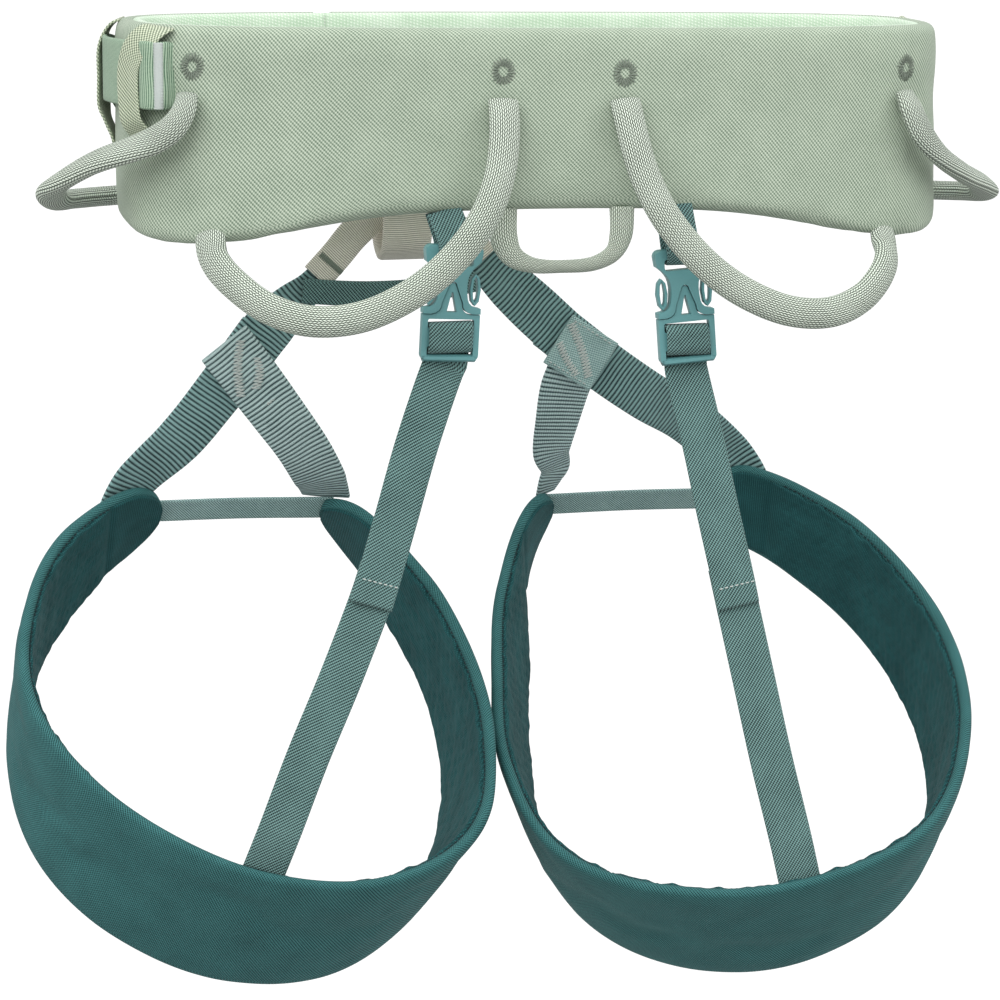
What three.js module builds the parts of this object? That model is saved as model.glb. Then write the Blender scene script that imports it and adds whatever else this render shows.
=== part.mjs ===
// Sport climbing harness: padded waist belt, gear loops, tie-in loops, rear buckles and leg loops.
// Units are millimetres, +Z is up, -Y is the wearer's back and +X the wearer's right.
// The origin is the middle of the waist opening, at the belt's mid height.
import * as THREE from "three";

// ---- driving dimensions ----
const BELT = {
  centreX: 2, halfWidth: 189, halfDepth: 63, power: 3, shell: 4, padding: 6, gap: 0.3,
  top: 48, bottom: -33, hipDrop: 15, hipArc: 170, hipSpread: 70,
  lean: 0.0157, opening: 4, openingX: -84, stations: 52,
};
const WEBBING = {
  height: 29, thickness: 2.2, outset: 2.6, standOff: 3.6, spread: 16, sideZ: 26, frontZ: 10,
};
const GEAR_LOOP = { width: 14.5, thickness: 9 };
const HAUL_LOOP = { width: 8.5, thickness: 6 };
const TIE_IN = { x: -38, width: 20, thickness: 2.6 };
const BELAY = { width: 24, thickness: 4 };
const REAR_BUCKLE = { width: 26, thickness: 6, hookHeight: 31, frameHeight: 20.4, y: -60 };
const ELASTIC = { width: 20, thickness: 1.4 };
const RISER = { width: 25, thickness: 2, clear: 2.2 };
const LEG = { shell: 2.8, padding: 2.6, gap: 0.4, depth: 67, depthSlope: 0.2, tongue: 20, stations: 34 };
const WAIST_BUCKLE = { x: -88, z: 10, width: 44, height: 42, y: 67.8, thickness: 3 };

const COLOURS = {
  beltShell: 0xaec6ae, beltPadding: 0xcfe6c6, loop: 0xb9c7b4, webbing: 0xb4c6b8,
  elasticBand: 0xc6d0b0, beige: 0xb5aea2, teal: 0x618a87, tealLight: 0x7f9c9a,
  plastic: 0x44757a, legShell: 0x3f6b6c, legPadding: 0x35595c, steel: 0x9a9ea0,
};

const harness = new THREE.Group();

const vec = (x, y, z) => new THREE.Vector3(x, y, z);
const radians = THREE.MathUtils.degToRad;

function addPart(name, geometry, colour, { roughness = 0.9, metalness = 0, parent = harness } = {}) {
  const material = new THREE.MeshStandardMaterial({ color: colour, roughness, metalness });
  const mesh = new THREE.Mesh(geometry, material);
  mesh.name = name;
  parent.add(mesh);
  return mesh;
}

// ---- solid builders ----

// Joins a row of cross sections, each a loop with the same number of points, into a closed solid.
function loft(sections, { ring = false } = {}) {
  const count = sections[0].length;
  const rows = sections.length;
  const corners = sections.flat();
  const positions = corners.flatMap((point) => point.toArray());
  const index = [];
  for (let row = 0; row < (ring ? rows : rows - 1); row++) {
    const here = row * count;
    const next = ((row + 1) % rows) * count;
    for (let i = 0; i < count; i++) {
      const j = (i + 1) % count;
      index.push(...splitQuad(corners, [here + i, here + j, next + j, next + i]));
    }
  }
  if (!ring) {
    const last = (rows - 1) * count;
    for (let i = 1; i < count - 1; i++) {
      index.push(0, i + 1, i, last, last + i, last + i + 1);
    }
  }
  if (signedVolume(positions, index) < 0) index.reverse();
  const geometry = new THREE.BufferGeometry();
  geometry.setAttribute("position", new THREE.Float32BufferAttribute(positions, 3));
  geometry.setIndex(index);
  geometry.computeVertexNormals();
  return geometry;
}

// Two triangles of a quad, split along its shorter diagonal.
function splitQuad(corners, [a, b, c, d]) {
  const along = corners[a].distanceToSquared(corners[c]) <= corners[b].distanceToSquared(corners[d]);
  return along ? [a, b, c, a, c, d] : [a, b, d, b, c, d];
}

function signedVolume(positions, index) {
  const corner = (i) => new THREE.Vector3().fromArray(positions, 3 * index[i]);
  let volume = 0;
  for (let i = 0; i < index.length; i += 3) {
    volume += corner(i).dot(corner(i + 1).cross(corner(i + 2))) / 6;
  }
  return volume;
}

// A strap or tube through the stops [x, y, z]. Its flat face looks along face, given once or per stop.
// The width is one number, or one per stop.
function sweep(stops, face, { width, thickness, sides = 4, perSpan = 3, ring = false }) {
  const widthAt = Array.isArray(width) ? (t) => valueAt(width, t) : () => width;
  const path = new THREE.CatmullRomCurve3(stops.map((stop) => vec(...stop)), ring);
  const faces = Array.isArray(face[0]) ? face : stops.map(() => face);
  const facing = new THREE.CatmullRomCurve3(faces.map((direction) => vec(...direction)), ring);
  const spans = ring ? stops.length : stops.length - 1;
  const steps = spans * perSpan;
  const sections = [];
  for (let step = 0; step < (ring ? steps : steps + 1); step++) {
    const t = step / steps;
    const centre = path.getPoint(t);
    const tangent = path.getTangent(t);
    const across = new THREE.Vector3().crossVectors(tangent, facing.getPoint(t)).normalize();
    const normal = new THREE.Vector3().crossVectors(across, tangent).normalize();
    sections.push(crossSection(centre, across, normal, widthAt(t), thickness, sides));
  }
  return loft(sections, { ring });
}

function crossSection(centre, across, normal, width, thickness, sides) {
  const corners = [];
  for (let side = 0; side < sides; side++) {
    const angle = (2 * Math.PI * (side + 0.5)) / sides;
    const reach = sides === 4 ? Math.SQRT1_2 : 0.5;
    corners.push(centre.clone()
      .addScaledVector(across, Math.cos(angle) * reach * width)
      .addScaledVector(normal, Math.sin(angle) * reach * thickness));
  }
  return corners;
}

// Value at t from 0 to 1 along a list of evenly spaced values, on a smooth curve.
function valueAt(values, t) {
  return new THREE.SplineCurve(values.map((value, i) => new THREE.Vector2(i, value))).getPoint(t).y;
}

// A flat plate of the outline (with holes) in the XZ plane, thick along Y.
function plate(outline, thickness) {
  const geometry = new THREE.ExtrudeGeometry(outline, {
    depth: thickness, bevelEnabled: false, curveSegments: 4,
  });
  geometry.translate(0, 0, -thickness / 2);
  geometry.rotateX(Math.PI / 2);
  return geometry;
}

function roundedRectangle(shape, left, bottom, right, top, radius) {
  shape.moveTo(left + radius, bottom);
  shape.lineTo(right - radius, bottom);
  shape.absarc(right - radius, bottom + radius, radius, -Math.PI / 2, 0);
  shape.lineTo(right, top - radius);
  shape.absarc(right - radius, top - radius, radius, 0, Math.PI / 2);
  shape.lineTo(left + radius, top);
  shape.absarc(left + radius, top - radius, radius, Math.PI / 2, Math.PI);
  shape.lineTo(left, bottom + radius);
  shape.absarc(left + radius, bottom + radius, radius, Math.PI, 1.5 * Math.PI);
  return shape;
}

// ---- waist belt ----

// Plan outline of the belt's outer face, from the back centre towards +X.
const beltOutline = (() => {
  const corners = 96;
  const points = [];
  for (let i = 0; i < corners; i++) {
    const angle = -Math.PI / 2 + (2 * Math.PI * i) / corners;
    const bend = (value) => Math.sign(value) * Math.abs(value) ** (2 / BELT.power);
    const x = BELT.centreX + BELT.halfWidth * bend(Math.cos(angle));
    points.push(vec(x, BELT.halfDepth * bend(Math.sin(angle)), 0));
  }
  const outline = new THREE.CatmullRomCurve3(points, true);
  outline.arcLengthDivisions = 1200;
  return outline;
})();
const BELT_LENGTH = beltOutline.getLength();

// arc: distance round the outer face from the back centre, positive towards +X.
function beltPlace(arc) {
  const at = (((arc / BELT_LENGTH) % 1) + 1) % 1;
  const tangent = beltOutline.getTangentAt(at);
  return { point: beltOutline.getPointAt(at), tangent, outward: vec(tangent.y, -tangent.x, 0) };
}

function onBelt(arc, outset, height) {
  const { point, outward } = beltPlace(arc);
  const place = point.clone().addScaledVector(outward, outset);
  place.z = height - BELT.lean * point.x;
  return place;
}

function beltBottom(arc) {
  const fromHip = (Math.abs(arc) - BELT.hipArc) / BELT.hipSpread;
  return BELT.bottom - BELT.hipDrop * Math.exp(-fromHip * fromHip);
}

// The arc of the front point at a given x.
function frontArc(x) {
  let best = 0;
  for (let arc = BELT_LENGTH / 4; arc < 0.75 * BELT_LENGTH; arc += 0.5) {
    if (Math.abs(beltPlace(arc).point.x - x) < Math.abs(beltPlace(best).point.x - x) || !best) best = arc;
  }
  return best;
}

function beltBand(outerOutset, innerOutset, topInset, bottomInset) {
  const end = frontArc(BELT.openingX) - BELT.opening / 2;
  const start = end + BELT.opening - BELT_LENGTH;
  const sections = [];
  for (let i = 0; i <= BELT.stations; i++) {
    const arc = start + ((end - start) * i) / BELT.stations;
    const bottom = beltBottom(arc > BELT_LENGTH / 2 ? BELT_LENGTH - arc : arc) + bottomInset;
    const top = BELT.top - topInset;
    sections.push([
      onBelt(arc, outerOutset, bottom + 2), onBelt(arc, innerOutset, bottom),
      onBelt(arc, innerOutset, top), onBelt(arc, outerOutset, top - 2),
    ]);
  }
  return loft(sections);
}

function makeBelt() {
  addPart("belt_shell", beltBand(0, -BELT.shell, 0, 0), COLOURS.beltShell);
  const inside = -BELT.shell - BELT.gap;
  addPart("belt_padding", beltBand(inside, inside - BELT.padding, 2, 3), COLOURS.beltPadding);
}

// ---- straps that lie round the belt ----

// As sweep, with the direction of the strap's width instead of its face.
function sweepFacing(route, widths, size) {
  const path = new THREE.CatmullRomCurve3(route.map((stop) => vec(...stop)));
  const faces = widths.map((width, i) => {
    const tangent = path.getTangent(i / (route.length - 1));
    return new THREE.Vector3().crossVectors(vec(...width), tangent).toArray();
  });
  return sweep(route, faces, size);
}

// Middle of each side's stand-off at the hip, as a distance round the belt from the back.
const HIP = { left: BELT_LENGTH / 4 + 6, right: BELT_LENGTH / 4 + 62 };

// Outset of the webbing at a distance from the middle of its stand-off.
function standOff(fromHip) {
  const share = fromHip / WEBBING.spread;
  return WEBBING.outset + WEBBING.standOff * Math.exp(-share * share);
}

// Waist webbing of one side, from its slit beside the gear loop, standing off at the hip, to the
// front. The front stops are [x, y, face].
function waistStrap(side, hip, offsets, front) {
  const { sideZ, frontZ } = WEBBING;
  const stops = [];
  const faces = [];
  for (const from of offsets) {
    const arc = hip + from;
    const height = sideZ + (frontZ - sideZ) * THREE.MathUtils.smoothstep(from, 18, 46);
    stops.push(onBelt(side * arc, standOff(from), height).toArray());
    faces.push(beltPlace(side * arc).outward.toArray());
  }
  for (const [x, y, face] of front) {
    stops.push([x, y, frontZ - BELT.lean * x]);
    faces.push(face);
  }
  return sweep(stops, faces, { width: WEBBING.height, thickness: WEBBING.thickness, perSpan: 2 });
}

// Front stop of a strap that lies round the belt at a distance from it.
function alongFront(x, outset) {
  const arc = frontArc(x);
  return [x, onBelt(arc, outset, 0).y, beltPlace(arc).outward.toArray()];
}

function makeWaistWebbing() {
  const { x, y } = WAIST_BUCKLE;
  const out = [0, 1, 0];
  const left = [alongFront(-156, 4.8), alongFront(-142, 4.4), alongFront(-130, 4), alongFront(-122, 4.6),
    [x - 20, y - 3.3, out], [x - 13.4, y - 2.4, [-0.8, 0.6, 0]], [x - 12.6, y, [-1, 0, 0]],
    [x - 13.4, y + 2.4, [-0.8, -0.6, 0]], [x - 19, y + 3, [0, -1, 0]]];
  addPart("waist_webbing_left", waistStrap(-1, HIP.left, [-52, -36, -18, 0, 14, 26, 42], left),
    COLOURS.webbing);
  const right = [alongFront(120, 2.8), alongFront(85, 2.8), alongFront(40, 2.6), alongFront(-20, 2.5),
    [-56, 64.5, out], [x + 20, y - 3.3, out], [x + 12.4, y - 2, [0.7, 0.7, 0]], [x + 10, y + 1, [1, 0.3, 0]],
    [x + 6, y + 4.4, [0.5, 1, 0]], [x - 6, y + 6, out], [x - 20, y + 5.6, [-0.1, 1, 0]],
    [x - 26, y + 3.6, [-0.3, 1, 0]], alongFront(-122, 8.8), alongFront(-136, 8), alongFront(-152, 8.6),
    alongFront(-166, 7.8)];
  addPart("waist_webbing_right", waistStrap(1, HIP.right, [-52, -36, -18, 0, 14, 28], right),
    COLOURS.webbing);
}

// Two elastic bands at each hip cross the webbing and leave a slot behind them.
function makeHipBands(side, label) {
  const size = { width: 20, thickness: 1.2, perSpan: 2 };
  const bands = [["rear", -35.5, 12, 0, 2.8], ["front", 14, 0, -0.12, 3]];
  for (const [name, from, sweepBack, slope, clear] of bands) {
    const arc = HIP[label] + from;
    const over = standOff(from) + clear;
    const stops = [[arc - sweepBack, 2, 43.8], [arc - sweepBack, 0.7 * over, 43.6],
      [arc - 0.9 * sweepBack, over, 41.6], [arc - 0.3 * sweepBack, over, 31], [arc, over, 20],
      [arc, over, 8], [arc, 0.5 * over, 2], [arc, 1.6, -4]];
    const route = stops.map(([at, outset, height]) => onBelt(side * at, outset, height).toArray());
    const widths = stops.map(([at, outset]) => {
      const { tangent, outward } = beltPlace(side * at);
      const turn = outset < over ? 0 : side * slope;
      return tangent.clone().addScaledVector(outward, turn).toArray();
    });
    addPart(`hip_band_${name}_${label}`, sweepFacing(route, widths, size), COLOURS.elasticBand);
  }
}

// ---- waist buckle, tail keepers and upper tie-in ----

function makeWaistBuckle() {
  const { x, y, z, width, height, thickness } = WAIST_BUCKLE;
  const place = (mesh, depth) => mesh.position.set(x, depth, z - BELT.lean * x);
  const steel = { roughness: 0.35, metalness: 0.9 };
  const frame = roundedRectangle(new THREE.Shape(), -width / 2, -height / 2, width / 2, height / 2, 6);
  const slotHalf = height / 2 - 5;
  for (const [left, right] of [[-16, -4], [4, 16]]) {
    frame.holes.push(roundedRectangle(new THREE.Path(), left, -slotHalf, right, slotHalf, 2));
  }
  place(addPart("waist_buckle_frame", plate(frame, thickness), COLOURS.steel, steel), y);
  const slider = roundedRectangle(new THREE.Shape(), -18, -slotHalf - 3, 10, slotHalf + 3, 5);
  slider.holes.push(roundedRectangle(new THREE.Path(), -12.5, -slotHalf, 4.5, slotHalf, 2));
  place(addPart("waist_buckle_slider", plate(slider, thickness), COLOURS.steel, steel), y + 9.3);
}

// Closed elastic ring round the left webbing and the webbing tail that lies over it.
function makeKeeper(name, x) {
  const arc = frontArc(x);
  const half = WEBBING.height / 2 + 2.4;
  const [inner, outer] = [0.9, 11.4];
  const [low, high] = [inner + 2.5, outer - 2.5];
  const middle = (inner + outer) / 2;
  const outline = [[inner, 0], [inner, -half + 3], [low, -half], [high, -half], [outer, -half + 3],
    [outer, 0], [outer, half - 3], [high, half], [low, half], [inner, half - 3]];
  const stops = outline.map(([out, up]) => onBelt(arc, out, WAIST_BUCKLE.z + up).toArray());
  const { outward } = beltPlace(arc);
  const faces = outline.map(([out, up]) => {
    const side = outward.clone().multiplyScalar((out - middle) / middle);
    return side.setZ(up / half).toArray();
  });
  addPart(name, sweep(stops, faces, { width: 12, thickness: 1.2, ring: true, perSpan: 1 }),
    COLOURS.elasticBand);
}

function makeTieIns() {
  const { x, width, thickness } = TIE_IN;
  const upper = [[-22, 68.6], [-18, 69.2], [-15, 77], [-8, 83.2], [0, 84], [8, 83.2], [15, 77], [18, 69.2],
    [22, 68.6]].map(([across, y]) => [x + across, y, 0]);
  const turns = [[0, 1, 0], [-0.5, 1, 0], [-1, 0.5, 0], [-0.25, 1, 0], [0, 1, 0], [0.25, 1, 0],
    [1, 0.5, 0], [0.5, 1, 0], [0, 1, 0]];
  addPart("upper_tie_in", sweep(upper, turns, { width, thickness, perSpan: 2 }), COLOURS.beige);

  const belay = [[72.6, -5], [74.6, 10], [83, 14.8], [90.5, 9.5], [94, -4], [100, -28], [104, -52],
    [100, -64], [91, -69], [81.5, -63], [77.5, -50], [74.5, -28]];
  const stops = belay.map(([y, z]) => [x, y, z]);
  const faces = belay.map(([y, z]) => [0, y - 89, 0.3 * (z + 26)]);
  addPart("belay_loop",
    sweep(stops, faces, { width: BELAY.width, thickness: BELAY.thickness, ring: true, perSpan: 2 }),
    COLOURS.beige);

  const sleeve = [[-79, 88.5, -77], [-70, 89, -67.5], [-61, 90, -57.5], [-50, 91, -49.5], [-37, 92, -47],
    [-22, 91.5, -50], [-9, 90, -60], [0.5, 88.5, -70.5]];
  const sleeveFaces = [[0, -1, 0], [0, -1, 0], [0, -1, 0.1], [0, -1, 0.2], [0, -1, 0.3], [0, -1, 0.2],
    [0, -1, 0.1], [0, -1, 0]];
  addPart("lower_tie_in_sleeve",
    sweep(sleeve, sleeveFaces, { width: 15.5, thickness: 5, sides: 8, perSpan: 3 }), COLOURS.beige);
  const bridge = [[-71, 85.2, -85.6], [-55, 88, -86.4], [-36, 89, -86.2], [-18, 88, -84], [-5, 85, -82]];
  addPart("bridge_strap", sweep(bridge, [0, -1, 0], { width: 12, thickness: 1.6 }), COLOURS.teal);
}

// ---- gear loops and haul loop ----

// Rear loop hangs flat against the back; its ends are sewn under the tack and into the hip's lower edge.
const REAR_LOOP = [[27.7, -67.8, 15.5], [28.5, -74, 4], [31, -79, -8], [37, -84, -25], [46, -86.5, -40],
  [60, -87.5, -55], [77, -88, -67], [98, -87, -75.5], [119, -82.5, -77], [136, -75.5, -72],
  [147.5, -67, -64], [153, -59, -56.5], [154.8, -53.5, -51.5]];
// Side loops, as [stop, face]: down the belt and out to the side, then back in to the belt's front.
const FRONT_LOOP_END = [
  [[215, 18, -34], [0.1, 0.1, 1]], [[205, 33, -35], [0.1, 0.1, 1]], [[192, 46, -35.5], [0.1, 0.1, 1]],
  [[176, 57, -35.5], [0.1, 0.3, 1]], [[158, 62.5, -34.5], [0, 0.6, 0.8]],
];
const FRONT_LOOPS = {
  left: [
    [[166.7, -48, 18], [0.4, -1, 0]], [[168.8, -52, 12], [0.4, -1, 0.1]], [[173.3, -52.5, 5], [0.4, -1, 0.3]],
    [[179.7, -48.5, -0.5], [0.4, -0.9, 0.5]], [[188, -42, -5], [0.4, -0.7, 0.8]],
    [[204, -27, -12.7], [0.35, -0.5, 1]], [[215.7, -11, -22], [0.3, -0.3, 1]],
    [[219.5, 3, -28.5], [0.1, 0, 1]], ...FRONT_LOOP_END,
  ],
  right: [
    [[161.5, -49.5, 18], [0.4, -1, 0]], [[163.2, -53.5, 11.3], [0.4, -1, 0.1]],
    [[168.6, -53, 0.5], [0.4, -1, 0.3]], [[179.6, -46, -10.4], [0.4, -0.7, 0.8]],
    [[196, -31, -20], [0.35, -0.5, 1]], [[211.5, -14, -27], [0.3, -0.3, 1]],
    [[219, 2, -32.5], [0.1, 0, 1]], ...FRONT_LOOP_END,
  ],
};

function makeGearLoop(name, stops, faces, side, centreX) {
  const mirrored = ([x, y, z]) => [centreX + side * x, y, z - side * BELT.lean * x];
  const face = faces.map(([x, y, z]) => [side * x, y, z]);
  addPart(name, sweep(stops.map(mirrored), face, { ...GEAR_LOOP, sides: 8, perSpan: 2 }), COLOURS.loop);
}

function makeLoops() {
  const rearFaces = REAR_LOOP.map((stop, i) => (i < 9 ? [0, -1, 0.1] : [0.5, -1, 0.1]));
  for (const [side, label] of [[-1, "left"], [1, "right"]]) {
    makeGearLoop(`gear_loop_rear_${label}`, REAR_LOOP, rearFaces, side, 0);
    const front = FRONT_LOOPS[label];
    makeGearLoop(`gear_loop_front_${label}`, front.map(([stop]) => stop), front.map(([, face]) => face), side,
      BELT.centreX);
  }
  const haul = [[-25.8, -58, -34], [-25.3, -58.5, -45], [-21.5, -59, -52.5], [-13, -59.5, -56.6],
    [1, -59.8, -57.6], [16, -59.5, -56.6], [24.8, -59, -52], [28.2, -58.5, -44.5], [28.8, -58, -34.6]];
  addPart("haul_loop", sweep(haul, [0, -1, 0], { ...HAUL_LOOP, sides: 8, perSpan: 2 }), COLOURS.loop);
}

// ---- rear buckles and elastics ----

const REAR = {
  left: { x: -50.2, z: -77.3, lean: 3, tabX: -53 },
  right: { x: 57.8, z: -81.9, lean: -4, tabX: 52.8 },
};

const TONGUE = { half: 9, apex: 14.4, waist: 4.4, tip: 1.5 };

// Outline of the frame's tongue above its shoulder, from left to right, grown by a margin.
function tongueOutline(path, margin) {
  const { half, apex, waist, tip } = TONGUE;
  path.lineTo(-half - margin, margin);
  path.quadraticCurveTo(-waist - margin, margin + 0.6, -waist - margin, 5.4);
  path.lineTo(-tip - margin, apex - tip);
  path.absarc(0, apex - tip, tip + margin, Math.PI, 0, true);
  path.lineTo(waist + margin, 5.4);
  path.quadraticCurveTo(waist + margin, margin + 0.6, half + margin, margin);
}

function hookOutline() {
  const { width, hookHeight } = REAR_BUCKLE;
  const half = width / 2;
  const shape = new THREE.Shape();
  shape.moveTo(-half, 2.9);
  shape.lineTo(-half, 0.4);
  tongueOutline(shape, 0.4);
  shape.lineTo(half, 0.4);
  shape.lineTo(half, 2.9);
  shape.quadraticCurveTo(7.6, 3.4, 6.9, 7);
  shape.quadraticCurveTo(5.6, 14, 7.2, 17.8);
  shape.quadraticCurveTo(9, 21.4, half - 0.6, 23.6);
  shape.lineTo(half, hookHeight - 3.6);
  shape.absarc(half - 3, hookHeight - 3, 3, 0, Math.PI / 2);
  shape.lineTo(-half + 3, hookHeight);
  shape.absarc(-half + 3, hookHeight - 3, 3, Math.PI / 2, Math.PI);
  shape.lineTo(-half + 0.6, 23.6);
  shape.quadraticCurveTo(-9, 21.4, -7.2, 17.8);
  shape.quadraticCurveTo(-5.6, 14, -6.9, 7);
  shape.quadraticCurveTo(-7.6, 3.4, -half, 2.9);
  shape.holes.push(roundedRectangle(new THREE.Path(), -8.8, 21.6, 8.8, hookHeight - 4.2, 1.4));
  return shape;
}

function frameOutline() {
  const { width, frameHeight } = REAR_BUCKLE;
  const half = width / 2;
  const shape = new THREE.Shape();
  shape.moveTo(-half, 0);
  tongueOutline(shape, 0);
  shape.lineTo(half, 0);
  shape.lineTo(half, -frameHeight + 2.5);
  shape.absarc(half - 2.5, -frameHeight + 2.5, 2.5, 0, -Math.PI / 2, true);
  shape.lineTo(-half + 2.5, -frameHeight);
  shape.absarc(-half + 2.5, -frameHeight + 2.5, 2.5, -Math.PI / 2, -Math.PI, true);
  const window = new THREE.Path();
  window.moveTo(-2.3, 1.2);
  window.lineTo(2.3, 1.2);
  window.lineTo(0.3, 10);
  window.lineTo(-0.3, 10);
  shape.holes.push(window);
  for (const [low, high] of [[-6.2, -2], [-18.8, -14.2]]) {
    shape.holes.push(roundedRectangle(new THREE.Path(), -10.5, low, 10.5, high, 0.8));
  }
  return shape;
}

function latchOutline() {
  const shape = new THREE.Shape();
  shape.absellipse(0, 7.6, 2.5, 7.2, 0, 2 * Math.PI);
  const hole = new THREE.Path();
  hole.absellipse(0, 7.8, 1.2, 5.6, 0, 2 * Math.PI);
  shape.holes.push(hole);
  return shape;
}

function onRearBuckle(label, across, y, up) {
  const { x, z, lean } = REAR[label];
  const turned = vec(across, 0, up).applyAxisAngle(vec(0, 1, 0), radians(lean));
  return [x + turned.x, REAR_BUCKLE.y + y, z + turned.z];
}

function makeRearBuckle(label) {
  const { x, z, lean, tabX } = REAR[label];
  const group = new THREE.Group();
  group.position.set(x, REAR_BUCKLE.y, z);
  group.rotation.y = radians(lean);
  harness.add(group);
  const plastic = { roughness: 0.45, parent: group };
  addPart(`rear_hook_${label}`, plate(hookOutline(), REAR_BUCKLE.thickness), COLOURS.plastic, plastic);
  addPart(`rear_ladder_frame_${label}`, plate(frameOutline(), 4.5), COLOURS.plastic, plastic);
  const outward = Math.sign(x);
  for (const [side, sideName] of [[outward, "outer"], [-outward, "inner"]]) {
    const latch = addPart(`rear_latch_${sideName}_${label}`, plate(latchOutline(), 4),
      COLOURS.plastic, plastic);
    latch.position.set(side * 10.4, 0, 3.5);
  }

  // tab: a webbing loop from the belt's lower edge round the hook's crossbar
  const bar = REAR_BUCKLE.hookHeight - 2.1;
  const stops = [[tabX, -55.4, -37.5], onRearBuckle(label, -0.5, 4.6, bar + 4),
    onRearBuckle(label, 0, 4.6, bar - 0.5), onRearBuckle(label, 0, 2.6, bar - 4.2),
    onRearBuckle(label, 0, -2.6, bar - 4.2), onRearBuckle(label, 0, -4.6, bar - 0.5),
    onRearBuckle(label, -0.5, -4.6, bar + 4), [tabX, -59.8, -37.5]];
  const faces = [[0, 1, 0], [0, 1, 0], [0, 1, -0.3], [0, 0.5, -1], [0, -0.5, -1], [0, -1, -0.3],
    [0, -1, 0], [0, -1, 0]];
  addPart(`rear_tab_${label}`, sweep(stops, faces, { width: 15, thickness: 1.4, perSpan: 2 }), COLOURS.teal);
}

const ELASTIC_ROUTE = {
  left: {
    upper: [[-52.5, -56.6, -101], [-65.5, -62, -133], [-76, -64, -167], [-84.3, -65.2, -194],
      [-88, -65.4, -206]],
    lower: [[-82.4, -62.8, -189], [-87.6, -63, -204], [-102, -64.5, -239], [-117, -65.5, -273],
      [-130, -65.5, -306], [-136, -62.5, -322]],
  },
  right: {
    upper: [[59.4, -56.8, -106], [66, -62, -138], [72, -66.5, -170], [78.5, -70.4, -202],
      [80.6, -71.4, -213]],
    lower: [[77.2, -67.4, -195], [80, -69, -209], [87.5, -73, -246], [95, -77, -283],
      [104, -80.5, -322], [108, -80.5, -339]],
  },
};

function makeElastics(label) {
  const wrap = [[5.4, -19], [5.2, -10], [4.2, -5.6], [1.8, -4], [-1.8, -4], [-3.5, -5.8], [-3.6, -10],
    [-3.5, -14.2], [-1.8, -16.4], [1.8, -16.6], [3.5, -18.6], [3.8, -22]];
  const wrapFaces = [[0, 1, 0], [0, 1, 0], [0, 1, 0.7], [0, 0.2, 1], [0, -0.2, 1], [0, -1, 0.7], [0, -1, 0],
    [0, -1, -0.7], [0, -0.2, -1], [0, -0.2, -1], [0, -1, -0.7], [0, -1, 0]];
  const { upper, lower } = ELASTIC_ROUTE[label];
  const back = [0, -1, 0];
  addPart(`rear_elastic_upper_${label}`,
    sweep([...wrap.map(([y, up]) => onRearBuckle(label, 0, y, up)), ...upper],
      [...wrapFaces, ...upper.map(() => back)], { ...ELASTIC, perSpan: 2 }), COLOURS.teal);
  addPart(`rear_elastic_lower_${label}`, sweep(lower, back, { ...ELASTIC, perSpan: 2 }), COLOURS.teal);
}

// ---- leg loops ----

// Each padded band runs round the thigh between two tongues at the front. It is measured in its ring
// plane: angle in degrees from the wearer's right, radii of the inner face at its upper and lower edge.
const LEGS = {
  left: {
    centre: vec(-123, 10, -255.5), axis: vec(0.1, -0.65, 0.755), from: 99, to: 417,
    upper: [122, 118, 110, 106.5, 100, 98.5, 105, 114, 117.5, 106.5, 103.5, 111, 124],
    lower: [119, 105, 101, 103, 104.5, 102, 102.5, 104, 102.5, 103, 106, 115, 140],
  },
  right: {
    centre: vec(101.9, 10, -261.7), axis: vec(-0.15, -0.606, 0.781), from: 124, to: 452,
    upper: [143, 120, 108, 116, 130, 126, 122.5, 122.5, 112, 105.5, 106.5, 118, 133],
    lower: [150, 108, 95, 98, 104, 106, 106, 106, 101, 93, 92, 101, 120],
  },
};

function legFrame({ axis }) {
  const up = axis.clone().normalize();
  const across = new THREE.Vector3().crossVectors(up, vec(0, 0, 1)).normalize();
  if (across.x < 0) across.negate();
  const front = new THREE.Vector3().crossVectors(up, across);
  if (front.z < 0) front.negate();
  return { up, across, front };
}

// Point of a band: t along it from 0 to 1, along 0 at the upper edge and 1 at the lower, outset from
// the inner face.
function onLeg(leg, t, along, outset) {
  const { up, across, front } = legFrame(leg);
  const angle = radians(leg.from + (leg.to - leg.from) * t);
  const radial = across.clone().multiplyScalar(Math.cos(angle)).addScaledVector(front, Math.sin(angle));
  const upper = leg.centre.clone().addScaledVector(radial, valueAt(leg.upper, t));
  const lowRadius = valueAt(leg.lower, t);
  const drop = LEG.depth - LEG.depthSlope * lowRadius * Math.sin(angle);
  const lower = leg.centre.clone().addScaledVector(radial, lowRadius).addScaledVector(up, -drop);
  const down = lower.clone().sub(upper).normalize();
  const outward = radial.clone().addScaledVector(down, -radial.dot(down)).normalize();
  return upper.lerp(lower, along).addScaledVector(outward, outset);
}

// Fractions along the band, closer together in the rounded tongues.
function legStations(length) {
  const end = LEG.tongue / length;
  const rounds = [0, 0.04, 0.15, 0.35, 0.65].map((share) => share * end);
  const middle = [];
  for (let i = 0; i <= LEG.stations; i++) middle.push(end + ((1 - 2 * end) * i) / LEG.stations);
  return [...rounds, ...middle, ...rounds.map((t) => 1 - t).reverse()];
}

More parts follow.
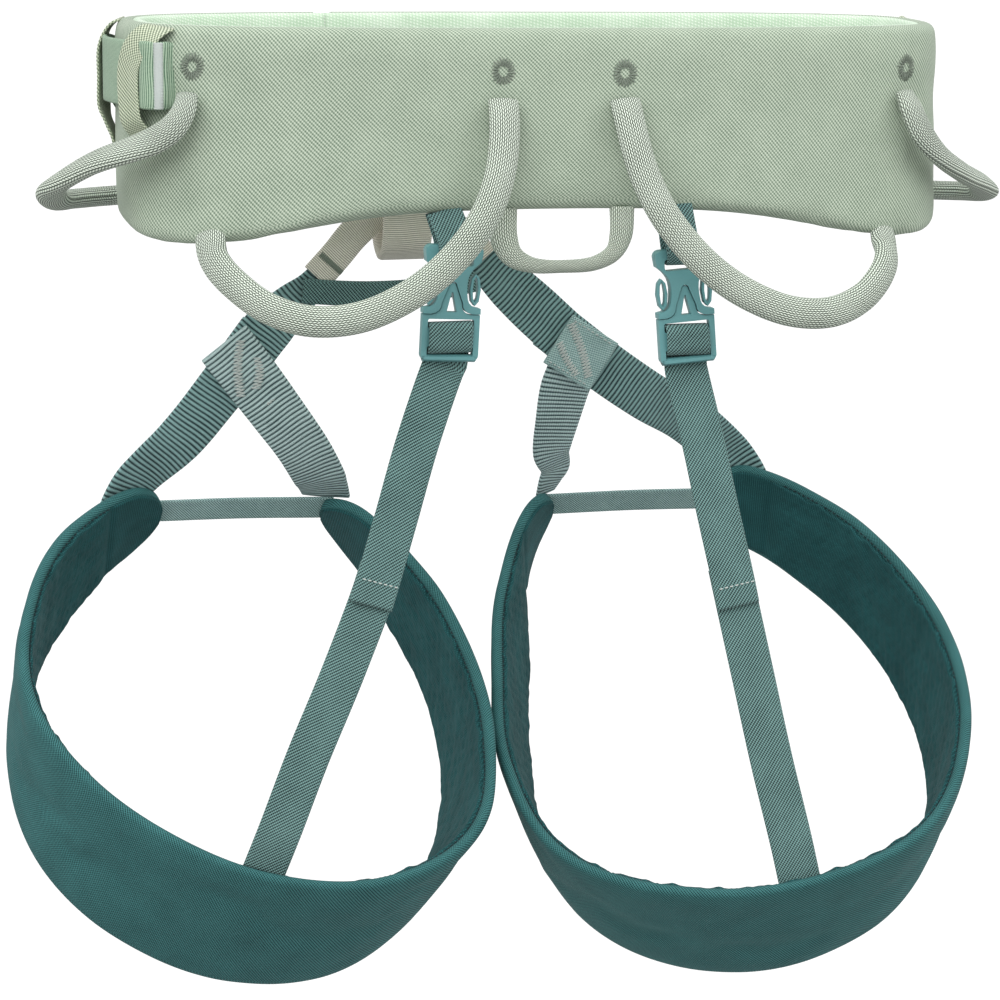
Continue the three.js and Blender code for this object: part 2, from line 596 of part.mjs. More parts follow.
// Layer of a band between two outsets, rounded off in its tongues.
function legBand(leg, inner, outer, bevel) {
  const length = 1.08 * radians(leg.to - leg.from) * valueAt(leg.upper, 0.5);
  const sections = legStations(length).map((t) => {
    const fromEnd = Math.min(1, (Math.min(t, 1 - t) * length) / LEG.tongue);
    const share = 0.5 * Math.max(0.2, Math.sqrt(1 - (1 - fromEnd) ** 2));
    const top = 0.5 - share;
    const low = 0.5 + share;
    const cut = bevel * share;
    return [
      onLeg(leg, t, low, inner), onLeg(leg, t, low - cut, outer),
      onLeg(leg, t, top + cut, outer), onLeg(leg, t, top, inner),
    ];
  });
  return loft(sections);
}

// Risers: a strap down from the tie-in, a sewn patch, and two arms down to the leg loop's tongues.
// Each arm runs on over the tongue's outer face, from one fraction along the band to another.
const RISERS = {
  left: {
    upper: [[-82.2, 89, -81], [-90, 89.3, -88.5], [-102, 89.8, -100.5], [-112.5, 90.3, -114]],
    upperFaces: [[0.35, -1, 0.35], [0.2, -1, 0.2], [0, -1, 0], [0, -1, 0]],
    widths: [13, 19, 24, 25],
    outer: [-114.2, 90.4, -116.2],
    outerOnLeg: [0.006, 0.022],
    inner: [-110.6, 86, -124],
    innerOnLeg: [0.99, 0.975],
  },
  right: {
    upper: [[3.5, 88.6, -73.8], [14, 89, -84.5], [29, 89.6, -99], [42.3, 90.2, -112.5]],
    upperFaces: [[-0.35, -1, 0.35], [-0.2, -1, 0.2], [0, -1, 0], [0, -1, 0]],
    widths: [20, 23, 25, 25],
    outer: [45.6, 90.3, -115.6],
    outerOnLeg: [0.985, 0.965],
    inner: [43.5, 84, -123.5],
    innerOnLeg: [0.008, 0.02],
  },
};

// The way an arm runs over the outer face of its tongue, with the face it lies on.
function overTongue(leg, [first, last]) {
  const outer = LEG.padding + LEG.gap + LEG.shell;
  return [-0.06, 0.14, 0.38].map((along, i) => {
    const t = first + ((last - first) * i) / 2;
    const point = onLeg(leg, t, along, outer);
    const across = onLeg(leg, t + 0.01, along, outer).sub(point);
    const down = onLeg(leg, t, along + 0.1, outer).sub(point);
    const normal = new THREE.Vector3().crossVectors(across, down).normalize();
    if (normal.y < 0) normal.negate();
    return { point: point.addScaledVector(normal, RISER.clear).toArray(), face: normal.negate().toArray() };
  });
}

function makeLeg(label) {
  const leg = LEGS[label];
  const inside = LEG.padding;
  addPart(`leg_padding_${label}`, legBand(leg, 0, inside, 0), COLOURS.legPadding);
  addPart(`leg_shell_${label}`, legBand(leg, inside + LEG.gap, inside + LEG.gap + LEG.shell, 0.04),
    COLOURS.legShell);
  const riser = RISERS[label];
  addPart(`riser_upper_${label}`, sweep(riser.upper, riser.upperFaces, { ...RISER, width: riser.widths }),
    COLOURS.tealLight);
  for (const arm of ["outer", "inner"]) {
    const run = overTongue(leg, riser[`${arm}OnLeg`]);
    const start = vec(...riser[arm]);
    const midway = start.clone().lerp(vec(...run[0].point), 0.5);
    const stops = [start.toArray(), midway.toArray(), ...run.map(({ point }) => point)];
    const faces = [[0, -1, 0], [0, -1, 0], ...run.map(({ face }) => face)];
    addPart(`riser_${arm}_${label}`, sweep(stops, faces, RISER), COLOURS.tealLight);
  }
  const [start, end] = [0, 1].map((t) => onLeg(leg, t, 0.5, (LEG.padding + LEG.gap + LEG.shell) / 2));
  const step = end.clone().sub(start).setLength(1);
  start.add(step);
  end.sub(step);
  const middle = start.clone().lerp(end, 0.5);
  addPart(`leg_front_elastic_${label}`,
    sweep([start.toArray(), middle.toArray(), end.toArray()], [0, -1, -0.6],
      { width: 12, thickness: 1.4, perSpan: 2 }), COLOURS.teal);
}

makeBelt();
makeWaistWebbing();
makeHipBands(-1, "left");
makeHipBands(1, "right");
makeWaistBuckle();
makeKeeper("tail_keeper_inner", -130);
makeKeeper("tail_keeper_outer", -152);
makeTieIns();
makeLoops();
for (const label of ["left", "right"]) {
  makeRearBuckle(label);
  makeElastics(label);
  makeLeg(label);
}

export default harness;
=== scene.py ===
"""Looks of the climbing harness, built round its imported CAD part.

Lengths are millimetres in the part's own frame: +Z up, -Y the wearer's back, +X the wearer's right.
They become metres where a mesh, a light or the camera is made.
"""
import math
import random

import bpy
import numpy as np
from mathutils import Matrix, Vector, noise
from mathutils.bvhtree import BVHTree


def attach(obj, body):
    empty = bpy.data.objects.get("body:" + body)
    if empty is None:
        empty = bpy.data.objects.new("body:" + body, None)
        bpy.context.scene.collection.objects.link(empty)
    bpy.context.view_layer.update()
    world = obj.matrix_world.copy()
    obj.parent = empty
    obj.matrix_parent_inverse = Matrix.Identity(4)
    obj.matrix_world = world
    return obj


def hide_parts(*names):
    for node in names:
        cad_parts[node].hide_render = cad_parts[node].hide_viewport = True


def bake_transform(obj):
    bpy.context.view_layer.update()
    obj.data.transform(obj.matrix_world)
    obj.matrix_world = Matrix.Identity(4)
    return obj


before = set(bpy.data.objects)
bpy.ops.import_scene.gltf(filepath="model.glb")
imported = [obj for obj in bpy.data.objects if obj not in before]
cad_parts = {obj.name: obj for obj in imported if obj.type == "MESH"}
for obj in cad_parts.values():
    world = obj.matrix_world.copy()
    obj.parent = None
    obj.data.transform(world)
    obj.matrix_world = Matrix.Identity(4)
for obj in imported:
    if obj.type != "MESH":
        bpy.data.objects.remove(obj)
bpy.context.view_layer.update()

MM = 0.001
BACK, FRONT, UP = [0, -1, 0], [0, 1, 0], [0, 0, 1]
ROOT = "waist_belt"
LIGHT_LEVEL = 1.08
random.seed(7)


# ---- small maths ----

def unit(vectors):
    vectors = np.asarray(vectors, float)
    return vectors / np.maximum(np.linalg.norm(vectors, axis=-1, keepdims=True), 1e-9)


def run_along(points):
    """Distance along a row of points, from 0 at its start."""
    return np.concatenate([[0], np.cumsum(np.linalg.norm(np.diff(points, axis=0), axis=1))])


SPAN_POINTS = 24


def smooth_curve(stops, ring=False):
    """Centripetal Catmull-Rom curve through the stops, the same curve as the CAD part's straps."""
    stops = np.asarray(stops, float)
    if ring:
        padded = np.vstack([stops[-1], stops, stops[0], stops[1]])
        spans = len(stops)
    else:
        padded = np.vstack([2 * stops[0] - stops[1], stops, 2 * stops[-1] - stops[-2]])
        spans = len(stops) - 1
    rows = []
    for i in range(spans):
        p0, p1, p2, p3 = padded[i:i + 4]
        d0, d1, d2 = (max(np.linalg.norm(b - a) ** 0.5, 1e-4) for a, b in ((p0, p1), (p1, p2), (p2, p3)))
        start = d1 * ((p1 - p0) / d0 - (p2 - p0) / (d0 + d1) + (p2 - p1) / d1)
        end = d1 * ((p2 - p1) / d1 - (p3 - p1) / (d1 + d2) + (p3 - p2) / d2)
        t = (np.arange(SPAN_POINTS) / SPAN_POINTS)[:, None]
        rows.append((2 * t**3 - 3 * t**2 + 1) * p1 + (t**3 - 2 * t**2 + t) * start
                    + (3 * t**2 - 2 * t**3) * p2 + (t**3 - t**2) * end)
    if not ring:
        rows.append(stops[-1:])
    return np.vstack(rows)


def value_at(values, t):
    """Value at t from 0 to 1 along evenly spaced values, on a smooth curve."""
    values = np.asarray(values, float)
    place = np.clip(t, 0, 1) * (len(values) - 1)
    low = np.minimum(place.astype(int), len(values) - 2)
    f = place - low
    before, after = np.maximum(low - 1, 0), np.minimum(low + 2, len(values) - 1)
    p0, p1, p2, p3 = values[before], values[low], values[low + 1], values[after]
    v1, v2 = (p2 - p0) / 2, (p3 - p1) / 2
    return ((2 * p1 - 2 * p2 + v1 + v2) * f**3 + (-3 * p1 + 3 * p2 - 2 * v1 - v2) * f**2 + v1 * f + p1)


def lumps(points, size, seed=0.0):
    """Smooth noise of about -1 to 1 at points, with lumps of about the given size."""
    flat = points.reshape(-1, 3) / size
    shift = Vector((seed, 1.7 * seed, -seed))
    values = [noise.noise(Vector(p) + shift) for p in flat]
    return np.array(values).reshape(points.shape[:-1])


def waves(points, *layers):
    """Sum of noise layers, each given as its height, the size of its lumps and a seed."""
    return sum(height * lumps(points, size, seed) for height, size, seed in layers)


def laid_flat(along, across):
    """Points of a cloth laid flat, from distances along and across it."""
    return np.stack([along + 0 * across, across, 0 * across], -1)


# ---- meshes ----

def placed(name, data):
    """A new object in the scene."""
    thing = bpy.data.objects.new(name, data)
    bpy.context.scene.collection.objects.link(thing)
    return thing


def lofted(name, sections, around, along, material, body=None, ring=False):
    """Closed mesh over sections (rows x points x 3). around and along are its cloth coordinates."""
    rows, count = sections.shape[:2]
    spans = rows if ring else rows - 1
    r, k = np.meshgrid(np.arange(spans), np.arange(count), indexing="ij")
    r, k = r.ravel(), k.ravel()
    r2, k2 = (r + 1) % rows, (k + 1) % count
    quads = np.stack([r * count + k, r * count + k2, r2 * count + k2, r2 * count + k], axis=1)
    corners = ((0, 0), (0, 1), (1, 1), (1, 0))
    uv = np.stack([np.stack([along[r + i], around[k + j]], 1) for i, j in corners], axis=1)
    points = sections.reshape(-1, 3)
    a, b, c = points[quads[:, 0]], points[quads[:, 1]], points[quads[:, 2]]
    inside_out = np.einsum("ij,ij->", a, np.cross(b, c)) < 0
    if inside_out:
        quads, uv = quads[:, ::-1], uv[:, ::-1]
    faces = quads.tolist()
    if not ring:
        first, last = list(range(count)), list(range((rows - 1) * count, rows * count))
        faces += [first, last[::-1]] if inside_out else [first[::-1], last]
    mesh = bpy.data.meshes.new(name)
    mesh.from_pydata((points * MM).tolist(), [], faces)
    layer = mesh.uv_layers.new(name="cloth")
    coordinates = np.zeros((len(mesh.loops), 2))
    coordinates[:len(quads) * 4] = uv.reshape(-1, 2)
    layer.data.foreach_set("uv", coordinates.ravel())
    return finished(name, mesh, material, body)


def finished(name, mesh, material, body):
    """Puts a mesh in the scene as one piece, attached to its body if one is given."""
    mesh.polygons.foreach_set("use_smooth", [True] * len(mesh.polygons))
    mesh.validate()
    mesh.update()
    thing = placed(name, mesh)
    mesh.materials.append(material)
    if body:
        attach(thing, body)
    return thing


TUBE_SIDES, EDGE_TURNS = 28, 3


def flat_profile(width, thickness, columns):
    """Section of a woven strap with round edges: its offsets across and out."""
    radius = thickness / 2
    reach = np.linspace(-1, 1, columns) * (width / 2 - radius)
    turn = np.linspace(0, math.pi, EDGE_TURNS + 2)[1:-1]
    across = np.concatenate([reach, width / 2 - radius + radius * np.sin(turn), reach[::-1],
                             -width / 2 + radius - radius * np.sin(turn)])
    out = np.concatenate([np.full(columns, radius), radius * np.cos(turn), np.full(columns, -radius),
                          -radius * np.cos(turn)])
    return across, out


def tube_profile(width, thickness):
    turn = 2 * math.pi * np.arange(TUBE_SIDES) / TUBE_SIDES
    return width / 2 * np.cos(turn), thickness / 2 * np.sin(turn)


def along_path(stops, faces, extras, step, ring):
    """Evenly spaced places on a strap's path: points, across, out, extras and distances."""
    faces = np.asarray(faces, float)
    if faces.ndim == 1:
        faces = np.tile(faces, (len(stops), 1))
    curve = smooth_curve(stops, ring=ring)
    facing = smooth_curve(faces, ring=ring)
    more = [smooth_curve(np.stack([e, 0 * e, 0 * e], 1), ring=ring)[:, 0] for e in extras]
    if ring:
        curve, facing = np.vstack([curve, curve[:1]]), np.vstack([facing, facing[:1]])
        more = [np.append(m, m[0]) for m in more]
    run = run_along(curve)
    count = max(2, int(run[-1] / step) + 1)
    at = np.linspace(0, run[-1], count)
    pick = lambda values: np.interp(at, run, values)
    points = np.stack([pick(curve[:, i]) for i in range(3)], 1)
    facing = np.stack([pick(facing[:, i]) for i in range(3)], 1)
    tangents = np.gradient(points, axis=0)
    if ring:
        tangents[0] = tangents[-1] = points[1] - points[-2]
    tangents = unit(tangents)
    across = unit(np.cross(tangents, facing))
    out = unit(np.cross(across, tangents))
    return points, across, out, [pick(m) for m in more], at


def strap(name, stops, faces, width, thickness, material, body=None, step=1.5, ring=False,
          tube=False, ripple=0.0, seed=0.0, columns=9):
    """A woven strap, or a braided tube, along the stops.

    Width and thickness are each one number, or a number per stop.
    """
    per_stop = lambda value: np.array(np.broadcast_to(value, len(stops)), float)
    points, across, out, (wide, thick), at = along_path(
        stops, faces, [per_stop(width), per_stop(thickness)], step, ring)
    if ring:
        points, across, out, wide, thick = points[:-1], across[:-1], out[:-1], wide[:-1], thick[:-1]
    sections = []
    for p, a, n, w, h in zip(points, across, out, wide, thick):
        offset_a, offset_n = tube_profile(w, h) if tube else flat_profile(w, h, columns)
        sections.append(p + offset_a[:, None] * a + offset_n[:, None] * n)
    sections = np.array(sections)
    if ripple:
        sections = sections + out[:, None, :] * (ripple * lumps(sections, 14, seed))[..., None]
    loop = np.vstack([np.stack([offset_a, offset_n], 1), [offset_a[0], offset_n[0]]])
    return lofted(name, sections, run_along(loop), at, material, body, ring)


THREAD_SIDES = 5
THREAD_RINGS = ((-0.02, 0.5, -0.6), (0.15, 1, 0.5), (0.5, 1.1, 0.9), (0.85, 1, 0.5), (1.02, 0.5, -0.6))


def threads(name, segments, material, body, radius):
    """Stitches: each segment is a short thread that rises a little in its middle."""
    sides = THREAD_SIDES
    vertices, faces = [], []
    for start, end, lift in segments:
        start, end, lift = (np.asarray(v, float) for v in (start, end, lift))
        tangent = unit(end - start)
        lift = unit(lift - tangent * (lift @ tangent))
        side = np.cross(tangent, lift)
        base = len(vertices)
        for share, swell, rise in THREAD_RINGS:
            centre = start + (end - start) * share + lift * radius * rise
            for i in range(sides):
                turn = 2 * math.pi * i / sides
                vertices.append(centre + swell * radius * (math.cos(turn) * side + math.sin(turn) * lift))
        for row in range(len(THREAD_RINGS) - 1):
            for i in range(sides):
                j = (i + 1) % sides
                low, high = base + row * sides, base + (row + 1) * sides
                faces.append((low + i, high + i, high + j, low + j))
        faces.append(tuple(base + i for i in range(sides)))
        faces.append(tuple(base + (len(THREAD_RINGS) - 1) * sides + i for i in reversed(range(sides))))
    mesh = bpy.data.meshes.new(name)
    mesh.from_pydata([tuple(v * MM) for v in vertices], [], faces)
    return finished(name, mesh, material, body)


def zigzag(corners_a, corners_b, lift):
    """Stitches that run to and fro between two rows of points."""
    route = [p for pair in zip(corners_a, corners_b) for p in pair]
    return [(a, b, lift) for a, b in zip(route, route[1:])]


def line_stitches(points, lift, length, gap):
    """Straight running stitches along a row of points. lift is a direction, or one per point."""
    points = np.asarray(points, float)
    lifts = np.tile(lift, (len(points), 1)) if np.ndim(lift) == 1 else np.asarray(lift, float)
    run = run_along(points)
    place = lambda s, rows: np.array([np.interp(s, run, rows[:, i]) for i in range(3)])
    starts = np.arange(0, run[-1] - length, length + gap)
    return [(place(s, points), place(s + length, points), place(s, lifts)) for s in starts]


# ---- materials ----

def colour(r, g, b):
    """Linear colour of an sRGB one given as 0 to 255, as it looks in this scene's light."""
    linear = [c / 255 / 12.92 if c <= 10 else ((c / 255 + 0.055) / 1.055) ** 2.4 for c in (r, g, b)]
    return (*(c / LIGHT_LEVEL for c in linear), 1.0)


class Field:
    """A value in a shader tree. Arithmetic on it adds Math nodes."""

    def __init__(self, tree, socket):
        self.tree, self.socket = tree, socket

    def math(self, operation, *others):
        node = self.tree.nodes.new("ShaderNodeMath")
        node.operation = operation
        for i, value in enumerate((self, *others)):
            if isinstance(value, Field):
                self.tree.links.new(value.socket, node.inputs[i])
            else:
                node.inputs[i].default_value = value
        return Field(self.tree, node.outputs[0])

    def __add__(self, other):
        return self.math("ADD", other)

    def __sub__(self, other):
        return self.math("SUBTRACT", other)

    def __mul__(self, other):
        return self.math("MULTIPLY", other)

    def wave(self, period):
        """Smooth wave from 0 to 1."""
        return (self * (2 * math.pi / period)).math("SINE") * 0.5 + 0.5

    def hump(self, power):
        """1 where the value is 0, falling to 0 at half a unit to either side."""
        return (self.math("ABSOLUTE") * 2).math("POWER", power) * -1 + 1


def cloth_fields(tree):
    """Distance along and across the cloth in millimetres."""
    uv = tree.nodes.new("ShaderNodeUVMap")
    uv.uv_map = "cloth"
    split = tree.nodes.new("ShaderNodeSeparateXYZ")
    tree.links.new(uv.outputs[0], split.inputs[0])
    return Field(tree, split.outputs[0]), Field(tree, split.outputs[1])


def noise_field(tree, scale, detail=2.0):
    """Soft noise from 0 to 1 over the piece, with about scale lumps to a metre."""
    node = tree.nodes.new("ShaderNodeTexNoise")
    node.inputs["Scale"].default_value = scale
    node.inputs["Detail"].default_value = detail
    place = tree.nodes.new("ShaderNodeTexCoord")
    tree.links.new(place.outputs["Object"], node.inputs["Vector"])
    return Field(tree, node.outputs[0])


def new_material(name):
    material = bpy.data.materials.new(name)
    material.use_nodes = True
    tree = material.node_tree
    return material, tree, tree.nodes["Principled BSDF"]


def set_colour(tree, shader, share, dark, light):
    """Base colour that goes from dark to light as share goes from 0 to 1."""
    mix = tree.nodes.new("ShaderNodeMix")
    mix.data_type = "RGBA"
    mix.clamp_factor = True
    tree.links.new(share.socket, mix.inputs["Factor"])
    mix.inputs["A"].default_value = dark
    mix.inputs["B"].default_value = light
    tree.links.new(mix.outputs["Result"], shader.inputs["Base Color"])


def set_bump(tree, shader, height, depth):
    """Raised surface, depth millimetres high where height is 1."""
    bump = tree.nodes.new("ShaderNodeBump")
    bump.inputs["Strength"].default_value = 1.0
    bump.inputs["Distance"].default_value = depth * MM
    tree.links.new(height.socket, bump.inputs["Height"])
    tree.links.new(bump.outputs[0], shader.inputs["Normal"])


CLOTH_ROUGHNESS, PLASTIC_ROUGHNESS = 0.85, 0.42
PATCH_SCALE, FUZZ_SCALE, PLASTIC_GRAIN, METAL_GRAIN = 60.0, 2200.0, 900.0, 500.0


def cloth_material(name, dark, light, pattern, depth, patchy=0.2, sheen=0.12, fuzz=0.18, contrast=1.5):
    """Woven cloth, from its dark and light sRGB colours.

    pattern(u, v) gives the height of its threads from 0 to 1, and depth is that height in millimetres.
    """
    material, tree, shader = new_material(name)
    u, v = cloth_fields(tree)
    height = pattern(u, v)
    patches = noise_field(tree, PATCH_SCALE)
    fine = noise_field(tree, FUZZ_SCALE)
    share = (height - 0.5) * contrast + 0.5 + (patches - 0.5) * patchy + (fine - 0.5) * fuzz * 2
    set_colour(tree, shader, share, colour(*dark), colour(*light))
    shader.inputs["Roughness"].default_value = CLOTH_ROUGHNESS
    shader.inputs["Sheen Weight"].default_value = sheen
    shader.inputs["Sheen Roughness"].default_value = 0.5
    shader.inputs["Specular IOR Level"].default_value = 0.25
    set_bump(tree, shader, height + (fine - 0.5) * fuzz, depth)
    return material


def twill(pitch, lean=1.0, break_pitch=None):
    """Slanting ridges of small threads."""
    def pattern(u, v):
        return (u + v * lean).wave(pitch) * 0.62 + (v - u * lean).wave(break_pitch or pitch) * 0.38
    return pattern


def ribs(pitch, thread=0.55):
    """Cross ribs of a thick webbing, with fine threads along it."""
    def pattern(u, v):
        sway = (v.wave(23.0) - 0.5) * 0.5
        rib = (u + sway).wave(pitch).math("POWER", 0.7)
        fine = v.wave(thread)
        return rib * 0.75 + fine * 0.25
    return pattern


def braid(row, grain):
    """Braided sheath: rows of slanting grains of the given width and length, leaning by turns."""
    def pattern(u, v):
        lane = v * (1 / row)
        beside = lane.math("FRACT") - 0.5
        odd = (lane.math("FLOOR") * 0.5).math("FRACT") * 2
        along = (u * (1 / grain) + odd * 0.5 + beside * (odd * 2 - 1) * 0.8).math("FRACT") - 0.5
        return beside.hump(2.0) * along.hump(3.0)
    return pattern


def mesh_knit(pitch):
    """Open brushed knit of the linings."""
    def pattern(u, v):
        return u.wave(pitch) * (v + u * 0.3).wave(pitch * 0.9) * 0.8 + 0.1
    return pattern


def plastic_material(name, base):
    material, tree, shader = new_material(name)
    grain = noise_field(tree, PLASTIC_GRAIN)
    set_colour(tree, shader, grain * 0.5, base, (*(c * 1.12 for c in base[:3]), 1.0))
    shader.inputs["Roughness"].default_value = PLASTIC_ROUGHNESS
    set_bump(tree, shader, grain, 0.03)
    return material


def metal_material(name, base):
    material, tree, shader = new_material(name)
    shader.inputs["Base Color"].default_value = base
    shader.inputs["Metallic"].default_value = 1.0
    grain = noise_field(tree, METAL_GRAIN, 4.0)
    tree.links.new((grain * 0.25 + 0.2).socket, shader.inputs["Roughness"])
    return material


BELT_CLOTH = cloth_material(
    "belt_twill", (104, 126, 106), (208, 220, 200), twill(1.9, 1.0, 1.5), 0.2, fuzz=0.3, contrast=1.1)
BELT_LINING = cloth_material(
    "belt_lining_knit", (190, 216, 188), (244, 252, 240), mesh_knit(1.6), 0.16, patchy=0.7, sheen=0.3,
    fuzz=0.3, contrast=1.0)
BRAID = dict(pattern=braid(0.98, 1.75), depth=0.42, patchy=0.3, fuzz=0.25, contrast=1.7)
LOOP_SHEATH = cloth_material("loop_braid", (44, 62, 42), (244, 255, 240), **BRAID)
# Painted light: a brighter copy of the loop braid, lightened to offset the shade that falls on the haul loop
# under the belt.
HAUL_SHEATH_PAINTED_LIGHT = cloth_material("haul_loop_braid_painted_light", (84, 106, 80), (246, 255, 240), **BRAID)
WAIST_WEB = cloth_material("waist_web_ribs", (66, 104, 80), (186, 210, 184), ribs(1.1), 0.25, fuzz=0.25)
HIP_ELASTIC = cloth_material(
    "hip_elastic_twill", (100, 118, 92), (226, 234, 208), twill(1.75, 0.8, 1.4), 0.28, fuzz=0.25)
BEIGE_WEB = cloth_material("beige_web_ribs", (150, 144, 130), (255, 252, 238), ribs(1.0), 0.18)
TEAL_ELASTIC = cloth_material(
    "teal_elastic_twill", (0, 24, 26), (128, 168, 164), twill(1.75, -1.0, 1.3), 0.32, patchy=0.35, fuzz=0.3)
# Painted light: a paler copy of the teal elastic, lightened to offset the shade on the front elastics.
FRONT_ELASTIC_PAINTED_LIGHT = cloth_material(
    "front_elastic_twill_painted_light", (58, 92, 92), (190, 222, 218), twill(1.4, -1.0, 1.2), 0.25, patchy=0.35, fuzz=0.3)
RISER_RIBS = dict(pattern=ribs(2.2), depth=0.55, patchy=0.35, fuzz=0.3)
RISER_WEB = cloth_material("riser_ribs", (0, 32, 36), (150, 190, 188), **RISER_RIBS)
# Painted light: the riser webbing again, lighter on the inner arms because of how the light falls on them.
ARM_WEB_PAINTED_LIGHT = cloth_material("inner_arm_ribs_painted_light", (20, 56, 60), (206, 232, 230), **RISER_RIBS)
PATCH_WEB = cloth_material(
    "patch_dense_weave", (84, 122, 122), (198, 226, 222), twill(1.2), 0.2, patchy=0.45, fuzz=0.4)
LEG_CLOTH = cloth_material(
    "leg_twill", (0, 40, 42), (74, 134, 134), twill(1.5, 1.0, 1.2), 0.18, patchy=0.3, sheen=0.0, fuzz=0.35,
    contrast=1.2)
LEG_LINING = cloth_material(
    "leg_lining_knit", (12, 56, 58), (48, 108, 110), mesh_knit(1.1), 0.1, patchy=0.6, sheen=0.0, fuzz=0.35,
    contrast=1.1)
GREY_THREAD = cloth_material("grey_thread", (92, 104, 90), (150, 160, 148), twill(0.3), 0.02)
# The leg seam's thread: real stitches, darkened further as painted shade of the seam's groove under the rim.
SEAM_THREAD_AND_SHADE = cloth_material("seam_thread_and_painted_shade", (8, 30, 34), (30, 58, 62), twill(0.3), 0.02)
PALE_THREAD = cloth_material("pale_thread", (160, 174, 170), (226, 230, 226), twill(0.3), 0.02)
PLASTIC = plastic_material("teal_plastic", colour(92, 146, 148))
METAL = metal_material("tumbled_metal", (0.56, 0.57, 0.58, 1))


# ---- soft filling ----

FILL_PRESSURE, FILL_SLACK, FILL_FRAMES = 4.0, 0.012, 20


def puffed(thing, pinned, cap):
    """Fills a padded piece with air in a cloth simulation, and keeps each point within cap of its start."""
    mesh = thing.data
    count = len(mesh.vertices)
    start = np.zeros(count * 3)
    mesh.vertices.foreach_get("co", start)
    group = thing.vertex_groups.new(name="pinned")
    group.add(np.flatnonzero(pinned).tolist(), 1.0, "REPLACE")
    cloth = thing.modifiers.new("cloth", "CLOTH")
    settings = cloth.settings
    settings.quality = 4
    settings.mass = 0.2
    settings.tension_stiffness = settings.compression_stiffness = 12
    settings.shear_stiffness = 4
    settings.bending_stiffness = 0.4
    settings.vertex_group_mass = "pinned"
    settings.use_pressure = True
    settings.uniform_pressure_force = FILL_PRESSURE
    settings.shrink_min = -FILL_SLACK
    settings.effector_weights.gravity = 0
    cloth.point_cache.frame_start = 1
    cloth.point_cache.frame_end = FILL_FRAMES
    scene = bpy.context.scene
    for step in range(1, FILL_FRAMES + 1):
        scene.frame_set(step)
    filled = thing.evaluated_get(bpy.context.evaluated_depsgraph_get())
    end = np.zeros(count * 3)
    filled.to_mesh().vertices.foreach_get("co", end)
    filled.to_mesh_clear()
    thing.modifiers.remove(cloth)
    scene.frame_set(1)
    move = (end - start).reshape(-1, 3)
    size = np.linalg.norm(move, axis=1, keepdims=True)
    move *= np.minimum(1, cap * MM / np.maximum(size, 1e-9))
    mesh.vertices.foreach_set("co", start + move.ravel())
    mesh.update()


def modified(thing):
    """Makes the piece's modifiers permanent and gives its new mesh back."""
    shaped = bpy.data.meshes.new_from_object(thing.evaluated_get(bpy.context.evaluated_depsgraph_get()))
    thing.modifiers.clear()
    thing.data = shaped
    return shaped


def subdivided(thing):
    modifier = thing.modifiers.new("subdivision", "SUBSURF")
    modifier.levels = modifier.render_levels = 1
    shaped = modified(thing)
    shaped.polygons.foreach_set("use_smooth", [True] * len(shaped.polygons))


# ---- waist belt ----

BELT_CENTRE_X, BELT_HALF_WIDTH, BELT_HALF_DEPTH, BELT_POWER = 2, 189, 63, 3
BELT_THICK, BELT_HEIGHT = 10.3, 82
BELT_TOP, BELT_BOTTOM, HIP_DROP, HIP_DROP_ARC, HIP_SPREAD = 48, -33, 15, 170, 70
BELT_LEAN = 0.0157
OPENING, OPENING_X = 0.1, -84

_angle = -math.pi / 2 + np.linspace(0, 2 * math.pi, 6001)
_bend = lambda value: np.sign(value) * np.abs(value) ** (2 / BELT_POWER)
_outline = np.stack([BELT_CENTRE_X + BELT_HALF_WIDTH * _bend(np.cos(_angle)),
                     BELT_HALF_DEPTH * _bend(np.sin(_angle))], 1)
_run = run_along(_outline)
BELT_LENGTH = _run[-1]
HIP_ARC = BELT_LENGTH / 4


def belt_place(arc):
    """Point and outward direction of the belt's outer face at a distance round it from the back."""
    at = lambda s: np.stack([np.interp(s % BELT_LENGTH, _run, _outline[:, i]) for i in (0, 1)], -1)
    arc = np.asarray(arc, float)
    point = at(arc)
    tangent = unit(at(arc + 1.0) - at(arc - 1.0))
    return point, np.stack([tangent[..., 1], -tangent[..., 0]], -1), tangent


def on_belt(arc, outset, height):
    """Point at a distance round the belt, outset from its outer face, at a height."""
    point, outward, _ = belt_place(arc)
    arc, outset, height = np.broadcast_arrays(arc, outset, height)
    flat = point + outward * outset[..., None]
    return np.stack([flat[..., 0], flat[..., 1], height - BELT_LEAN * point[..., 0]], -1)


def belt_outward(arc):
    outward = belt_place(arc)[1]
    return np.stack([outward[..., 0], outward[..., 1], np.zeros_like(outward[..., 0])], -1)


def belt_bottom(arc):
    """Height of the belt's lower edge, which drops at the hips."""
    return BELT_BOTTOM - HIP_DROP * np.exp(-((np.abs(arc) - HIP_DROP_ARC) / HIP_SPREAD) ** 2)


def front_arc(x):
    """Distance round the belt to the place at x on its front."""
    arcs = np.linspace(BELT_LENGTH / 4, 0.75 * BELT_LENGTH, 4001)
    return arcs[np.argmin(np.abs(belt_place(arcs)[0][:, 0] - x))]


RIM_TURNS = 5


def pad_section(height, thickness, rim, faces=16):
    """Section of a soft pad: heights from 0 to 1 and depths from 0 (outer face) to 1 (inner face)."""
    rise = np.linspace(rim / height, 1 - rim / height, faces)
    turn = np.linspace(0, math.pi, RIM_TURNS + 2)[1:-1]
    heights = np.concatenate([rise, 1 - rim / height + rim / height * np.sin(turn), rise[::-1],
                              rim / height - rim / height * np.sin(turn)])
    depths = np.concatenate([np.zeros(faces), (1 - np.cos(turn)) / 2, np.ones(faces),
                             (1 + np.cos(turn)) / 2])
    loop = np.vstack([np.stack([heights * height, depths * thickness], 1), [heights[0] * height, 0]])
    return heights, depths, run_along(loop)


